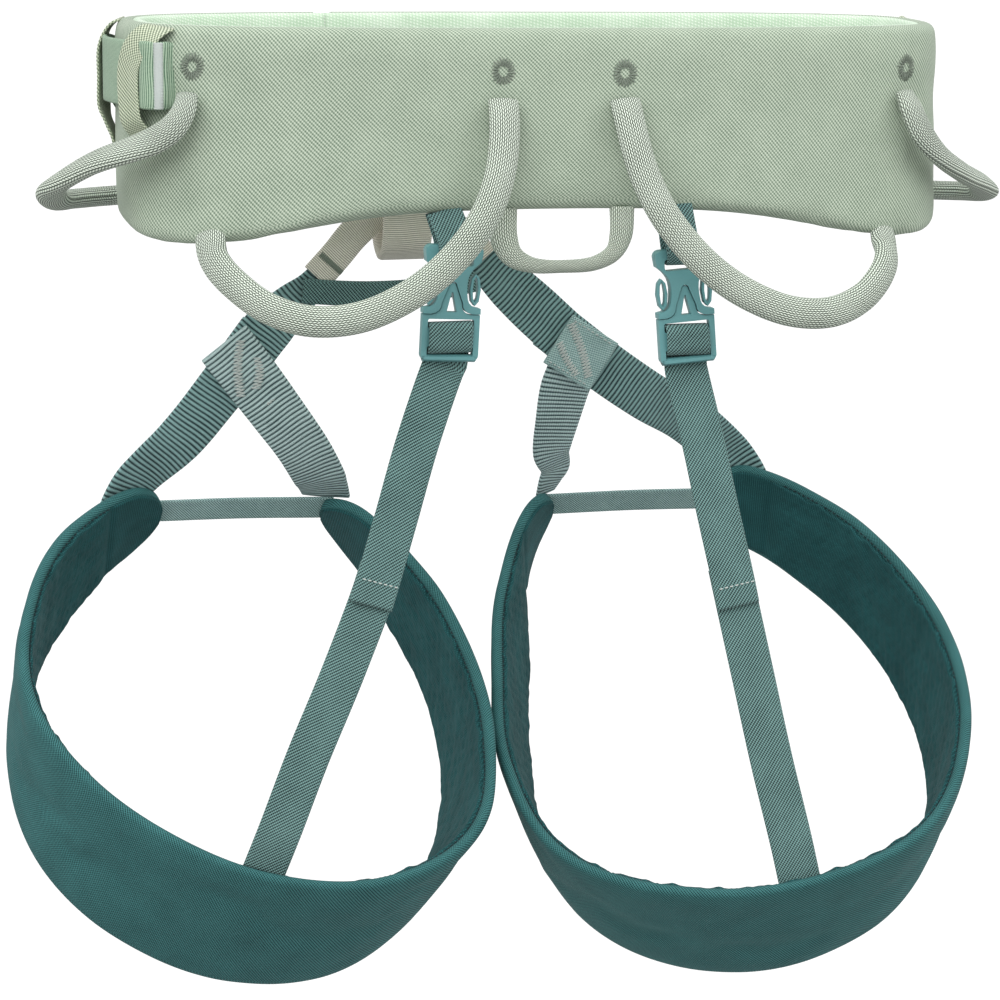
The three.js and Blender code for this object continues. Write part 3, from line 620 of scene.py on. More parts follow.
def belt_arcs(step):
    """Distances round the belt from one side of its opening to the other, and the same from the back."""
    end = front_arc(OPENING_X) - OPENING / 2
    start = end + OPENING - BELT_LENGTH
    arcs = np.linspace(start, end, int((end - start) / step) + 1)
    return arcs, np.where(arcs > BELT_LENGTH / 2, BELT_LENGTH - arcs, arcs)


BELT_COVER_RIM, BELT_PUCKER_HEIGHT = 4.5, 14


def make_belt_cover():
    arcs, hip_arcs = belt_arcs(4.5)
    heights, depths, around = pad_section(BELT_HEIGHT, BELT_THICK, BELT_COVER_RIM)
    bottom = belt_bottom(hip_arcs)[:, None]
    height = bottom + (BELT_TOP - bottom) * heights
    creases = waves(laid_flat(arcs[:, None], height), (0.8, 40, 3.0), (0.25, 14, 8.0)) - 0.6
    low = np.exp(-((height - bottom) / BELT_PUCKER_HEIGHT) ** 2)
    pucker = 0.35 * low * np.sin(arcs / 6.5 + 2 * np.sin(arcs / 31))[:, None]
    outset = -BELT_THICK * depths + (creases + pucker) * (depths < 0.5)
    sections = on_belt(arcs[:, None] + 0 * height, outset, height)
    cover = lofted("belt_cover", sections, around, arcs - arcs[0], BELT_CLOTH)
    fixed = np.tile((depths > 0.6) | (heights > 0.93), (len(arcs), 1))
    fixed[0] = fixed[-1] = True
    puffed(cover, fixed.ravel(), cap=1.1)
    subdivided(cover)
    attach(cover, ROOT)
    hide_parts("belt_shell")
    return cover


LINING_THICK, LINING_TUCK, TUFT_SPACING, TUFT_ROW = 4.0, 2.2, 13, 11


def make_belt_lining():
    """Quilted lining on the inner face, up to the rolled rim."""
    arcs, hip_arcs = belt_arcs(2.2)
    heights, depths, around = pad_section(BELT_HEIGHT - 5, 3.2, 1.4, faces=34)
    bottom = belt_bottom(hip_arcs)[:, None] + 4
    top = BELT_TOP - 0.4
    height = bottom + (top - bottom) * heights
    flat = laid_flat(arcs[:, None], height)
    from_rim = np.clip((top - height) / 10, 0, 1) * np.clip((height - bottom) / 8, 0, 1)
    tuft = np.cos(arcs[:, None] * math.pi / TUFT_SPACING) * np.cos(height * math.pi / TUFT_ROW)
    swell = (0.9 * np.abs(tuft) ** 0.6 + 0.5 * lumps(flat, 12, 5.0)) * from_rim
    outset = -BELT_THICK + LINING_TUCK - LINING_THICK * depths - swell * (depths > 0.5)
    sections = on_belt(arcs[:, None] + 0 * height, outset, height)
    lining = lofted("belt_lining", sections, around, arcs - arcs[0], BELT_LINING, ROOT)
    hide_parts("belt_padding")


def surface_of(thing):
    mesh = thing.data
    corners = [v.co.copy() for v in mesh.vertices]
    return BVHTree.FromPolygons(corners, [list(face.vertices) for face in mesh.polygons])


def on_surface(surface, point, outward):
    """Point where a line along -outward through the point first meets the surface, in millimetres."""
    point, outward = np.asarray(point, float), np.asarray(outward, float)
    place = surface.ray_cast(Vector((point + 12 * outward) * MM), Vector(-outward), 24 * MM)[0]
    return point if place is None else np.array(place) / MM


TACKS = (("rear_left", -29, 29.3), ("rear_right", 26.5, 28.3),
         ("side_left", -166, 30.3), ("side_right", 166, 29))
TACK_SPOKES, TACK_HOLE, TACK_RADIUS = 22, 2.1, 5.2


def make_tacks(cover):
    """Round starburst tacks over the gear loops' ends."""
    surface = surface_of(cover)
    for name, arc, height in TACKS:
        centre = on_belt(arc, 0, height)
        outward = belt_outward(arc)
        across, up = np.array([-outward[1], outward[0], 0]), np.array(UP, float)
        segments = []

        def spoke(angle, reach):
            point = centre + reach * (math.cos(angle) * across + 1.12 * math.sin(angle) * up)
            return on_surface(surface, point, outward) + 0.15 * outward

        for i in range(TACK_SPOKES):
            turn = 2 * math.pi * i / TACK_SPOKES
            next_turn = turn + math.pi / TACK_SPOKES
            inner, outer = TACK_HOLE + 0.5 * random.random(), TACK_RADIUS + 0.7 * random.random()
            segments.append((spoke(turn, inner), spoke(next_turn, outer), outward))
            if i % 2 == 0:
                segments.append((spoke(turn, inner), spoke(2 * next_turn - turn, inner), outward))
        threads(f"tack_{name}", segments, GREY_THREAD, ROOT, radius=0.34)


# ---- loops ----

REAR_LOOP = [[27.7, -66.2, 16.5], [28.2, -70.5, 9.5], [29.4, -75, 0], [32.5, -80, -14], [38, -84, -27.5],
             [46, -86.5, -40], [60, -87.5, -55], [77, -88, -67], [98, -87, -75.5], [119, -82.5, -77],
             [136, -75.2, -71.7], [147.5, -66.5, -63], [153.3, -57.5, -56], [154.8, -49.5, -50.5],
             [154.8, -44.8, -42]]
# each stop of a front loop is a point and the direction in which its flat side faces
FRONT_LOOP_END = [
    [[215, 18, -34], [0.1, 0.1, 1]], [[205, 33, -35], [0.1, 0.1, 1]], [[192, 46, -35.5], [0.1, 0.1, 1]],
    [[176, 55, -35.5], [0.1, 0.3, 1]], [[162, 53.5, -34.5], [0, 0.6, 0.8]], [[151, 46, -34], [0, 0.8, 0.6]],
]
FRONT_LOOPS = {
    "left": [
        [[166.7, -47.5, 18], [0.4, -1, 0]], [[168.8, -52, 12], [0.4, -1, 0.1]],
        [[173.3, -52.5, 5], [0.4, -1, 0.3]], [[179.7, -48.5, -0.5], [0.4, -0.9, 0.5]],
        [[188, -42, -5], [0.4, -0.7, 0.8]], [[204, -27, -12.7], [0.35, -0.5, 1]],
        [[215.7, -11, -22], [0.3, -0.3, 1]], [[219.5, 3, -28.5], [0.1, 0, 1]], *FRONT_LOOP_END],
    "right": [
        [[161.5, -49.5, 18], [0.4, -1, 0]], [[163.2, -53.5, 11.3], [0.4, -1, 0.1]],
        [[168.6, -53, 0.5], [0.4, -1, 0.3]], [[179.6, -46, -10.4], [0.4, -0.7, 0.8]],
        [[196, -31, -20], [0.35, -0.5, 1]], [[211.5, -14, -27], [0.3, -0.3, 1]],
        [[219, 2, -32.5], [0.1, 0, 1]], *FRONT_LOOP_END],
}
LOOP_WIDTH, LOOP_THICK = 13.8, 9


def ends_flattened(count, full, end):
    """Thickness per stop of a tube whose ends are sewn flat."""
    values = np.full(count, float(full))
    values[0] = values[-1] = end
    return values


def make_gear_loops():
    rear_faces = [[0, -1, 0.1]] * 10 + [[0.5, -1, 0.1]] * 5
    for side, label in ((-1, "left"), (1, "right")):
        front = FRONT_LOOPS[label]
        for place, stops, faces, centre in (
                ("rear", REAR_LOOP, rear_faces, 0),
                ("front", [stop for stop, _ in front], [face for _, face in front], BELT_CENTRE_X)):
            route = [[centre + side * x, y, z - side * BELT_LEAN * x] for x, y, z in stops]
            facing = [[side * x, y, z] for x, y, z in faces]
            thick = ends_flattened(len(route), LOOP_THICK, 5.5)
            wide = np.full(len(route), LOOP_WIDTH)
            if place == "front":
                wide[:4] = 9.6, 10.6, 12, 13
            loop = strap(f"gear_loop_{place}_{label}_cord", route, facing, wide, thick, LOOP_SHEATH,
                         tube=True, step=1.6)
            place == "rear"
            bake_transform(loop)
            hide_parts(f"gear_loop_{place}_{label}")


def make_haul_loop():
    stops = [[-25.8, -58, -31], [-25.3, -58.5, -45], [-21.5, -59, -52.5], [-13, -59.5, -56.6],
             [1, -59.8, -57.6], [16, -59.5, -56.6], [24.8, -59, -52], [28.2, -58.5, -44.5],
             [28.8, -58, -31.6]]
    widths = [13, 12.5, 10, 7, 5.8, 6.5, 8, 10.5, 11.5]
    # The haul loop's braid is lightened as painted light against the shade under the belt.
    loop = strap("haul_loop_cord", stops, BACK, widths, 6, HAUL_SHEATH_PAINTED_LIGHT, tube=True)
    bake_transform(loop)
    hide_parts("haul_loop")


# ---- waist webbing, hip bands, keepers and buckle ----

WEB_HEIGHT, WEB_THICK, WEB_SIDE_Z, WEB_FRONT_Z = 29, 2.2, 26, 10
WEB_OUTSET, WEB_STAND_OFF, WEB_SPREAD = 2.6, 2.2, 16
HIP = {"left": HIP_ARC + 6, "right": HIP_ARC + 62}
WEB_DROP_START, WEB_DROP_RUN = 18, 28
ROLL_SHIFT, ROLL_HALF, ROLL_RISE = 4.4, 6.2, 4.4
BUCKLE_X, BUCKLE_Y = -88, 67.8


def stand_off(from_hip):
    """Distance of the waist webbing from the belt, largest where it passes the hip."""
    return WEB_OUTSET + WEB_STAND_OFF * math.exp(-(from_hip / WEB_SPREAD) ** 2)


def along_front(x, outset):
    """Place at x on the belt's front: x, y and the outward direction."""
    arc = front_arc(x)
    return [x, on_belt(arc, outset, 0)[1], belt_outward(arc)]


def waist_strap(label, offsets, front):
    """One side's webbing: offsets are distances from the hip, front goes on from there along x."""
    side = -1 if label == "left" else 1
    hip = HIP[label]
    stops = [on_belt(side * (hip + offsets[0] - 4), -3, WEB_SIDE_Z)]
    faces = [belt_outward(side * (hip + offsets[0] - 4))]
    for offset in offsets:
        share = np.clip((offset - WEB_DROP_START) / WEB_DROP_RUN, 0, 1)
        height = WEB_SIDE_Z + (WEB_FRONT_Z - WEB_SIDE_Z) * share * share * (3 - 2 * share)
        stops.append(on_belt(side * (hip + offset), stand_off(offset), height))
        faces.append(belt_outward(side * (hip + offset)))
    for x, y, face in front:
        stops.append([x, y, WEB_FRONT_Z - BELT_LEAN * x])
        faces.append(face)
    web = strap(f"waist_web_{label}", stops, faces, WEB_HEIGHT, WEB_THICK, WAIST_WEB, ROOT,
                columns=13)
    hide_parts(f"waist_webbing_{label}")

    # the end is rolled back on itself and sewn down with a wide column of stitches
    middle = hip + offsets[0] + ROLL_SHIFT

    def on_roll(turn, clear=0.0, up=0.0):
        arc = middle - (ROLL_HALF + clear) * math.cos(turn)
        return on_belt(side * arc, 1.4 + (ROLL_RISE + clear) * math.sin(turn), WEB_SIDE_Z + up)

    turns = np.linspace(-0.15, 1.15, 12) * math.pi
    faces = []
    for turn in turns:
        along = belt_place(side * (middle - ROLL_HALF * math.cos(turn)))[2] * side
        faces.append(belt_outward(side * middle) * math.sin(turn) - np.array([*along, 0]) * math.cos(turn))
    strap(f"waist_web_{label}_roll", [on_roll(turn) for turn in turns], faces, WEB_HEIGHT + 0.8, WEB_THICK,
          WAIST_WEB, ROOT, step=1, columns=13)
    rises = np.linspace(-0.5, 0.5, 44) * (WEB_HEIGHT - 0.6)
    column = lambda share: [on_roll(share * math.pi, 1.25, up) for up in rises]
    threads(f"waist_web_{label}_stitches", zigzag(column(0.2), column(0.38), belt_outward(side * middle)),
            PALE_THREAD, ROOT, 0.36)


def make_waist_webbing():
    x, y = BUCKLE_X, BUCKLE_Y
    out = FRONT
    left = [along_front(-156, 4.8), along_front(-142, 4.4), along_front(-130, 4), along_front(-122, 4.6),
            [x - 20, y - 3.3, out], [x - 13.4, y - 2.4, [-0.8, 0.6, 0]], [x - 12.6, y, [-1, 0, 0]],
            [x - 13.4, y + 2.4, [-0.8, -0.6, 0]], [x - 19, y + 3, BACK]]
    waist_strap("left", [-48, -36, -18, 0, 14, 26, 42], left)
    right = [along_front(120, 2.8), along_front(85, 2.8), along_front(40, 2.6), along_front(-20, 2.5),
             [-56, 64.5, out], [x + 20, y - 3.3, out], [x + 12.4, y - 2, [0.7, 0.7, 0]],
             [x + 10, y + 1, [1, 0.3, 0]], [x + 6, y + 4.4, [0.5, 1, 0]], [x - 6, y + 6, out],
             [x - 20, y + 5.6, [-0.1, 1, 0]], [x - 26, y + 3.6, [-0.3, 1, 0]], along_front(-122, 8.8),
             along_front(-136, 8), along_front(-152, 8.6), along_front(-166, 7.8)]
    waist_strap("right", [-48, -36, -18, 0, 14, 28], right)


BAND_THICK = 1.2


def make_hip_bands(side, label):
    rear, front = stand_off(-35) + 2.6, stand_off(14) + 1.9
    # how the band's face leans, its width, and its stops as distance from the hip, outset and height
    tables = {
        "rear": (0, 14.5, [[-46, -3, 46.5], [-44.5, 0.6, 45.8], [-41, 0.75 * rear, 42.5], [-36, rear, 36.5],
                              [-32.6, rear, 29], [-32.4, rear, 14], [-33.6, 0.9 * rear, 5], [-35.6, 0.9, -1],
                              [-36.6, -1.5, -6]]),
        "front": (-0.12, 20, [[14, -3, 47], [14, 0.6, 45.5], [14, 0.8 * front, 40.5], [14, front, 33],
                              [14, front, 22], [14, front, 9], [14, 0.7 * front, 2], [14, 0.9, -5],
                              [14, -0.6, -11]]),
    }
    for name, (slope, width, table) in tables.items():
        route = np.array([on_belt(side * (HIP[label] + offset), outset, height)
                          for offset, outset, height in table])
        tangents = unit(np.gradient(route, axis=0))
        faces = []
        for (offset, outset, _), tangent in zip(table, tangents):
            _, outward, along = belt_place(side * (HIP[label] + offset))
            turn = side * slope if outset >= front else 0
            faces.append(np.cross(np.array([*(along + turn * outward), 0]), tangent))
        band = strap(f"hip_elastic_{name}_{label}", route, faces, width, BAND_THICK, HIP_ELASTIC, ROOT,
                     columns=13)
        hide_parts(f"hip_band_{name}_{label}")


def make_keepers():
    """Elastic rings that hold the webbing's tail against the belt."""
    for name, x in (("tail_keeper_inner", -130), ("tail_keeper_outer", -152)):
        arc = front_arc(x)
        half, inner, outer = WEB_HEIGHT / 2 + 2.4, 0.9, 11.4
        low, high, middle = inner + 2.5, outer - 2.5, (inner + outer) / 2
        outline = [[inner, 0], [inner, -half + 3], [low, -half], [high, -half], [outer, -half + 3],
                   [outer, 0], [outer, half - 3], [high, half], [low, half], [inner, half - 3]]
        stops = [on_belt(arc, out, WEB_FRONT_Z + up) for out, up in outline]
        outward = belt_outward(arc)
        faces = [outward * (out - middle) / middle + np.array([0, 0, up / half]) for out, up in outline]
        keeper = strap(f"{name}_band", stops, faces, 12, BAND_THICK, HIP_ELASTIC, ROOT,
                       ring=True)
        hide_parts(name)


def rounded_copy(node, radius, material, body):
    """A copy of a moulded or cast CAD piece with its edges rounded."""
    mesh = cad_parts[node].data.copy()
    mesh.materials.clear()
    mesh.materials.append(material)
    thing = placed(f"{node}_moulded", mesh)
    weld = thing.modifiers.new("weld", "WELD")
    weld.merge_threshold = 0.01 * MM
    flat = thing.modifiers.new("flat", "DECIMATE")
    flat.decimate_type = "DISSOLVE"
    flat.angle_limit = math.radians(1)
    bevel = thing.modifiers.new("bevel", "BEVEL")
    bevel.width = radius * MM
    bevel.segments = 3
    bevel.limit_method = "ANGLE"
    bevel.angle_limit = math.radians(40)
    shaped = modified(thing)
    shaped.shade_smooth()
    shaped.set_sharp_from_angle(angle=math.radians(35))
    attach(thing, body)
    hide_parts(node)
    return thing


def make_hard_parts():
    rounded_copy("waist_buckle_frame", 0.8, METAL, ROOT)
    rounded_copy("waist_buckle_slider", 0.8, METAL, "buckle_slider_body")
    for label in ("left", "right"):
        rounded_copy(f"rear_hook_{label}", 0.9, PLASTIC, ROOT)
        rounded_copy(f"rear_ladder_frame_{label}", 0.6, PLASTIC, ROOT)
        for side in ("outer", "inner"):
            rounded_copy(f"rear_latch_{side}_{label}", 0.5, PLASTIC,
                         f"{label}_{side}_latch")


# ---- tie-in loops ----

TIE_IN_X = -38


def make_tie_ins():
    x = TIE_IN_X
    upper = [[-22, 67.6], [-18, 69.2], [-15, 77], [-8, 83.2], [0, 84], [8, 83.2], [15, 77], [18, 69.2],
             [22, 67.6]]
    turns = [FRONT, [-0.5, 1, 0], [-1, 0.5, 0], [-0.25, 1, 0], FRONT, [0.25, 1, 0], [1, 0.5, 0],
             [0.5, 1, 0], FRONT]
    tie = strap("upper_tie_in_web", [[x + a, y, 0] for a, y in upper], turns, 20, 2.6, BEIGE_WEB, ROOT)
    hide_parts("upper_tie_in")
    belay = [[72.6, -5], [74.6, 10], [83, 14.8], [90.5, 9.5], [94, -4], [100, -28], [104, -52], [100, -64],
             [91, -69], [81.5, -63], [77.5, -50], [74.5, -28]]
    turns = [[0, y - 89, 0.3 * (z + 26)] for y, z in belay]
    loop = strap("belay_loop_web", [[x, y, z] for y, z in belay], turns, 24, 4, BEIGE_WEB, "belay_loop_body",
                 ring=True, columns=13)
    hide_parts("belay_loop")
    sleeve = [[-80, 88.5, -78], [-70, 89, -67.5], [-61, 90, -57.5], [-50, 91, -49.5], [-37, 92, -47],
              [-22, 91.5, -50], [-9, 90, -60], [1.5, 88.5, -71.5]]
    faces = [BACK, BACK, [0, -1, 0.1], [0, -1, 0.2], [0, -1, 0.3], [0, -1, 0.2], [0, -1, 0.1],
             BACK]
    tube = strap("lower_tie_in_tube", sleeve, faces, 15.5, [4.4, 5, 5, 5, 5, 5, 5, 4.4], BEIGE_WEB, ROOT,
                 tube=True, ripple=0.5, seed=2)
    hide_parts("lower_tie_in_sleeve")
    surface = surface_of(tube)
    for name, low, high in (("left", [-78, 86, -67], [-68, 86, -76]),
                            ("right", [-8, 86, -66], [-3, 86, -58])):
        stitches = [(on_surface(surface, a, BACK), on_surface(surface, b, BACK), lift)
                    for a, b, lift in stitch_column(low, high, 0, 3.2, 0.8)]
        threads(f"sleeve_tack_{name}", stitches, GREY_THREAD, ROOT, 0.3)
    bridge = [[-87, 87, -84], [-80, 86.2, -84.6], [-71, 86.4, -85.4], [-55, 87.5, -86.4],
              [-36, 88.5, -86.2], [-18, 88, -84], [-3, 86.6, -81]]
    strip = strap("bridge_web", bridge, BACK, 12, 1.6, TEAL_ELASTIC, ROOT, ripple=0.4)
    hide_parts("bridge_strap")


# ---- leg loops ----

LEG_THICK, LEG_DEPTH, LEG_DEPTH_SLOPE, LEG_TONGUE = 5.8, 67, 0.2, 20
# start and end are angles in degrees; upper and lower are the edges' radii, evenly spaced between them
LEGS = {
    "left": dict(
        centre=(-123, 10, -255.5), axis=(0.1, -0.65, 0.755), start=96, end=420,
        upper=[122, 118, 110, 106.5, 100, 98.5, 105, 114, 117.5, 106.5, 103.5, 111, 124],
        lower=[119, 105, 101, 103, 104.5, 102, 102.5, 104, 102.5, 103, 106, 115, 140]),
    "right": dict(
        centre=(101.9, 10, -261.7), axis=(-0.15, -0.606, 0.781), start=124, end=452,
        upper=[143, 120, 108, 116, 130, 126, 122.5, 122.5, 112, 105.5, 106.5, 118, 133],
        lower=[150, 108, 95, 98, 104, 106, 106, 106, 101, 93, 92, 101, 120]),
}


def on_leg(leg, t, along, outset):
    """Point of a leg band: t from 0 to 1 round it, along from its upper edge (0) to its lower (1)."""
    t, along, outset = np.broadcast_arrays(np.asarray(t, float), along, outset)
    up = unit(leg["axis"])
    across = unit(np.cross(up, (0, 0, 1)))
    across = -across if across[0] < 0 else across
    front = np.cross(up, across)
    front = -front if front[2] < 0 else front
    angle = np.radians(leg["start"] + (leg["end"] - leg["start"]) * t)[..., None]
    radial = across * np.cos(angle) + front * np.sin(angle)
    low_radius = value_at(leg["lower"], t)[..., None]
    upper = leg["centre"] + radial * value_at(leg["upper"], t)[..., None]
    drop = LEG_DEPTH - LEG_DEPTH_SLOPE * low_radius * np.sin(angle)
    lower = leg["centre"] + radial * low_radius - up * drop
    down = unit(lower - upper)
    outward = unit(radial - down * np.sum(radial * down, -1, keepdims=True))
    return upper + (lower - upper) * along[..., None] + outward * outset[..., None]


def leg_length(leg):
    return 1.08 * math.radians(leg["end"] - leg["start"]) * float(value_at(leg["upper"], np.array(0.5)))


def tongue_share(leg, t):
    """Half of the band's width at t, as a share, rounded off in its tongues."""
    from_end = np.minimum(1, np.minimum(t, 1 - t) * leg_length(leg) / LEG_TONGUE)
    return 0.5 * np.maximum(0.12, np.sqrt(1 - (1 - from_end) ** 2))


def leg_fractions(leg, step, first=0.0):
    """Places round a leg band from 0 to 1, closer together in its tongues."""
    length = leg_length(leg)
    middle = np.linspace(first + LEG_TONGUE / length, 1 - first - LEG_TONGUE / length, int(length / step))
    rounds = LEG_TONGUE / length * (1 - np.cos(np.linspace(0, math.pi / 2, 9)[:-1]))
    return np.concatenate([first + rounds, middle, 1 - first - rounds[::-1]])


def make_leg_cover(label):
    leg = LEGS[label]
    t = leg_fractions(leg, 4.5)
    heights, depths, around = pad_section(LEG_DEPTH, LEG_THICK, LEG_THICK / 2, faces=14)
    share = tongue_share(leg, t)[:, None]
    along = 0.5 + (0.5 - heights) * 2 * share
    outset = LEG_THICK * (1 - depths) * np.ones_like(along)
    base = on_leg(leg, t[:, None] + 0 * along, along, outset)
    outset = outset + (0.5 * lumps(base, 26, 1.0) - 0.3) * (depths < 0.5)
    sections = on_leg(leg, t[:, None] + 0 * along, along, outset)
    cover = lofted(f"leg_cover_{label}", sections, around, t * leg_length(leg), LEG_CLOTH)
    fixed = np.tile((depths > 0.6) | (heights < 0.05) | (heights > 0.95), (len(t), 1))
    fixed[:2] = fixed[-2:] = True
    puffed(cover, fixed.ravel(), cap=0.8)
    subdivided(cover)
    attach(cover, f"{label}_leg_loop")
    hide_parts(f"leg_shell_{label}")


LEG_LINING_WIDTH, DIMPLE_ROW, DIMPLE_PITCH = 60, 5.6, 6.8
EDGE_START, TONGUE_SEAM, QUILT_START = 26, 31, 33


def make_leg_lining(label):
    """Dimpled lining on the inner face, with a smooth patch sewn over each tongue."""
    leg = LEGS[label]
    length = leg_length(leg)
    t = leg_fractions(leg, 1.5, first=1.2 / length)
    heights, depths, around = pad_section(LEG_LINING_WIDTH, 2.4, 0.9, faces=40)
    place = t * length
    share = tongue_share(leg, t) - 0.045
    from_end = np.minimum(place, length - place)
    inside = np.clip((from_end - EDGE_START) / 12, 0, 1)
    wobble = (0.011 * np.sin(place / 3.1) + 0.009 * np.sin(place / 1.9 + 2)) * inside
    low, high = 0.5 + share - 0.02, 0.5 - share + wobble + 0.02 * inside
    along = low[:, None] + (high - low)[:, None] * heights
    across = along * LEG_DEPTH
    flat = laid_flat(place[:, None], across)
    row = (across + 1.6 * lumps(flat, 9, 2.0)) / DIMPLE_ROW
    u = (place[:, None] + 2.0 * lumps(flat, 10, 6.0)) / DIMPLE_PITCH + 0.5 * (np.floor(row) % 2)
    dimple = np.exp(-(((u % 1) - 0.5) / 0.26) ** 2 - ((row % 1 - 0.5) / 0.32) ** 2)
    dimple *= 0.65 + 0.5 * lumps(flat, 16, 11.0)
    quilt = np.clip((from_end - QUILT_START) / 6, 0, 1)[:, None]
    seam = np.exp(-((from_end - TONGUE_SEAM) / 1.6) ** 2)[:, None]
    soft = waves(flat, (0.6, 11, 4.0), (0.35, 5, 9.0))
    swell = (0.8 - 0.9 * dimple) * quilt + soft * (0.35 + 0.65 * quilt) - 1.1 * seam
    outset = 0.8 - 2.0 * depths - np.clip(swell, -1.0, 2.0) * (depths > 0.5)
    sections = on_leg(leg, t[:, None] + 0 * along, along, outset)
    lining = lofted(f"leg_lining_{label}", sections, around, place, LEG_LINING, f"{label}_leg_loop")
    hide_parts(f"leg_padding_{label}")
    # Dark stitches along the seam under the rim: real stitches, and painted shade of the seam's groove.
    seam_t = np.linspace(0.05, 0.95, 400)
    edge = on_leg(leg, seam_t, 0.5 - tongue_share(leg, seam_t) + 0.05, -0.15)
    lift = unit(on_leg(leg, seam_t, 0.05, -1.0) - on_leg(leg, seam_t, 0.05, 0.0))
    threads(f"leg_seam_and_painted_shade_{label}", line_stitches(edge, lift, 1.7, 0.9), SEAM_THREAD_AND_SHADE, f"{label}_leg_loop", 0.3)


# ---- risers ----

# an arm ends on the leg band, at the two places round it that its "_on" entry gives
RISERS = {
    "left": dict(
        upper=[[-79, 88.6, -77], [-84, 89, -83], [-92, 89.3, -90.5], [-103, 89.8, -101.5],
               [-119, 90.4, -121.5]],
        upper_faces=[[0.35, -1, 0.35], [0.35, -1, 0.35], [0.2, -1, 0.2], BACK, BACK],
        widths=[12, 15, 20, 24.5, 25],
        outer=[[-105, 91, -103.5], [-125.4, 91.6, -129.6], [-145, 94.5, -153.7]], outer_on=(0.018, 0.034),
        inner=[[-124.8, 87.8, -107.7], [-114.4, 87.9, -121.4], [-99.8, 89.5, -141.3], [-86, 94, -160.5]],
        inner_on=(1.008, 1.0), inner_widths=[27, 27, 26, 25, 25, 24, 24]),
    "right": dict(
        upper=[[1, 88.4, -71], [5, 88.6, -75.5], [15, 89, -85.5], [30, 89.6, -99.5], [52, 90.3, -120]],
        upper_faces=[[-0.35, -1, 0.35], [-0.35, -1, 0.35], [-0.2, -1, 0.2], BACK, BACK],
        widths=[17, 20, 23.5, 25, 25],
        outer=[[34, 91, -104], [62.8, 92, -126.6], [86, 96.5, -142.5], [108, 105, -155.5]],
        outer_on=(0.99, 0.972),
        inner=[[46.4, 87.9, -122.7], [43.1, 92.0, -134.4], [41.3, 102.0, -153.9], [41.2, 112.0, -170.2]],
        inner_on=(-0.004, 0.0), inner_widths=[24, 25, 22, 18.6, 15, 13, 12]),
}
RISER_THICK, RISER_BEND = 2, (-8, -42)
PATCH_CENTRE, PATCH_SIDE, PATCH_SLOPE = (48.8, 85.7, -118.1), 27, math.radians(33)
PATCH_ALONG = np.array([math.cos(PATCH_SLOPE), 0, -math.sin(PATCH_SLOPE)])


TONGUE_STOPS = ((-0.04, 2.4), (0.14, 1.4), (0.38, 0.4))


def over_tongue(leg, first, last):
    """Points and faces where an arm runs over the outer face of its tongue.

    Each stop is a share of the band's width, and how far the arm still faces the wearer's back there.
    """
    rows = []
    for i, (along, turned) in enumerate(TONGUE_STOPS):
        t = first + (last - first) * i / 2
        point = on_leg(leg, t, along, LEG_THICK)
        across = on_leg(leg, t + 0.01, along, LEG_THICK) - point
        down = on_leg(leg, t, along + 0.1, LEG_THICK) - point
        normal = unit(np.cross(across, down))
        normal = -normal if normal[1] < 0 else normal
        rows.append((point + 1.9 * normal, unit(np.array([0, -turned, -0.5 * turned]) - normal)))
    return rows


def stitch_column(start, end, bow, width=4.6, pitch=1.4):
    """Zigzag stitches in a bowed column on a face that looks along -Y."""
    start, end = np.array(start, float), np.array(end, float)
    count = int(np.linalg.norm(end - start) / pitch)
    share = np.linspace(0, 1, count)[:, None]
    side = unit(np.cross(end - start, FRONT))
    middle = start + (end - start) * share + side * bow * np.sin(share * math.pi)
    return zigzag(middle - side * width / 2, middle + side * width / 2, BACK)


def riser_stitches(label):
    """Lens of zigzag stitches over a riser's junction, and the small rows beside it."""
    if label == "left":
        parts = [stitch_column([-116.9, 86.5, -106.8], [-117.2, 86.5, -133], -1.5),
                 stitch_column([-109.2, 86.5, -115.2], [-109.9, 86.5, -129.5], 1.5),
                 stitch_column([-104, 88, -137.5], [-94, 88, -130], 0, 1.6)]
    else:
        parts = [stitch_column([43.7, 84.8, -103.8], [52.3, 84.8, -129.5], 1.0),
                 stitch_column([38.0, 84.8, -112.8], [46.4, 84.8, -128.2], -0.8, 4.0)]
        down = np.array([PATCH_ALONG[2], 0, -PATCH_ALONG[0]])
        half = PATCH_SIDE / 2 - 2
        for side in (half, -half):
            middle = np.array(PATCH_CENTRE) + [0, -0.85, 0] + down * side
            ends = [middle - PATCH_ALONG * half, middle + PATCH_ALONG * half]
            parts.append(line_stitches(ends, BACK, 1.5, 1.0))
    return [segment for part in parts for segment in part]


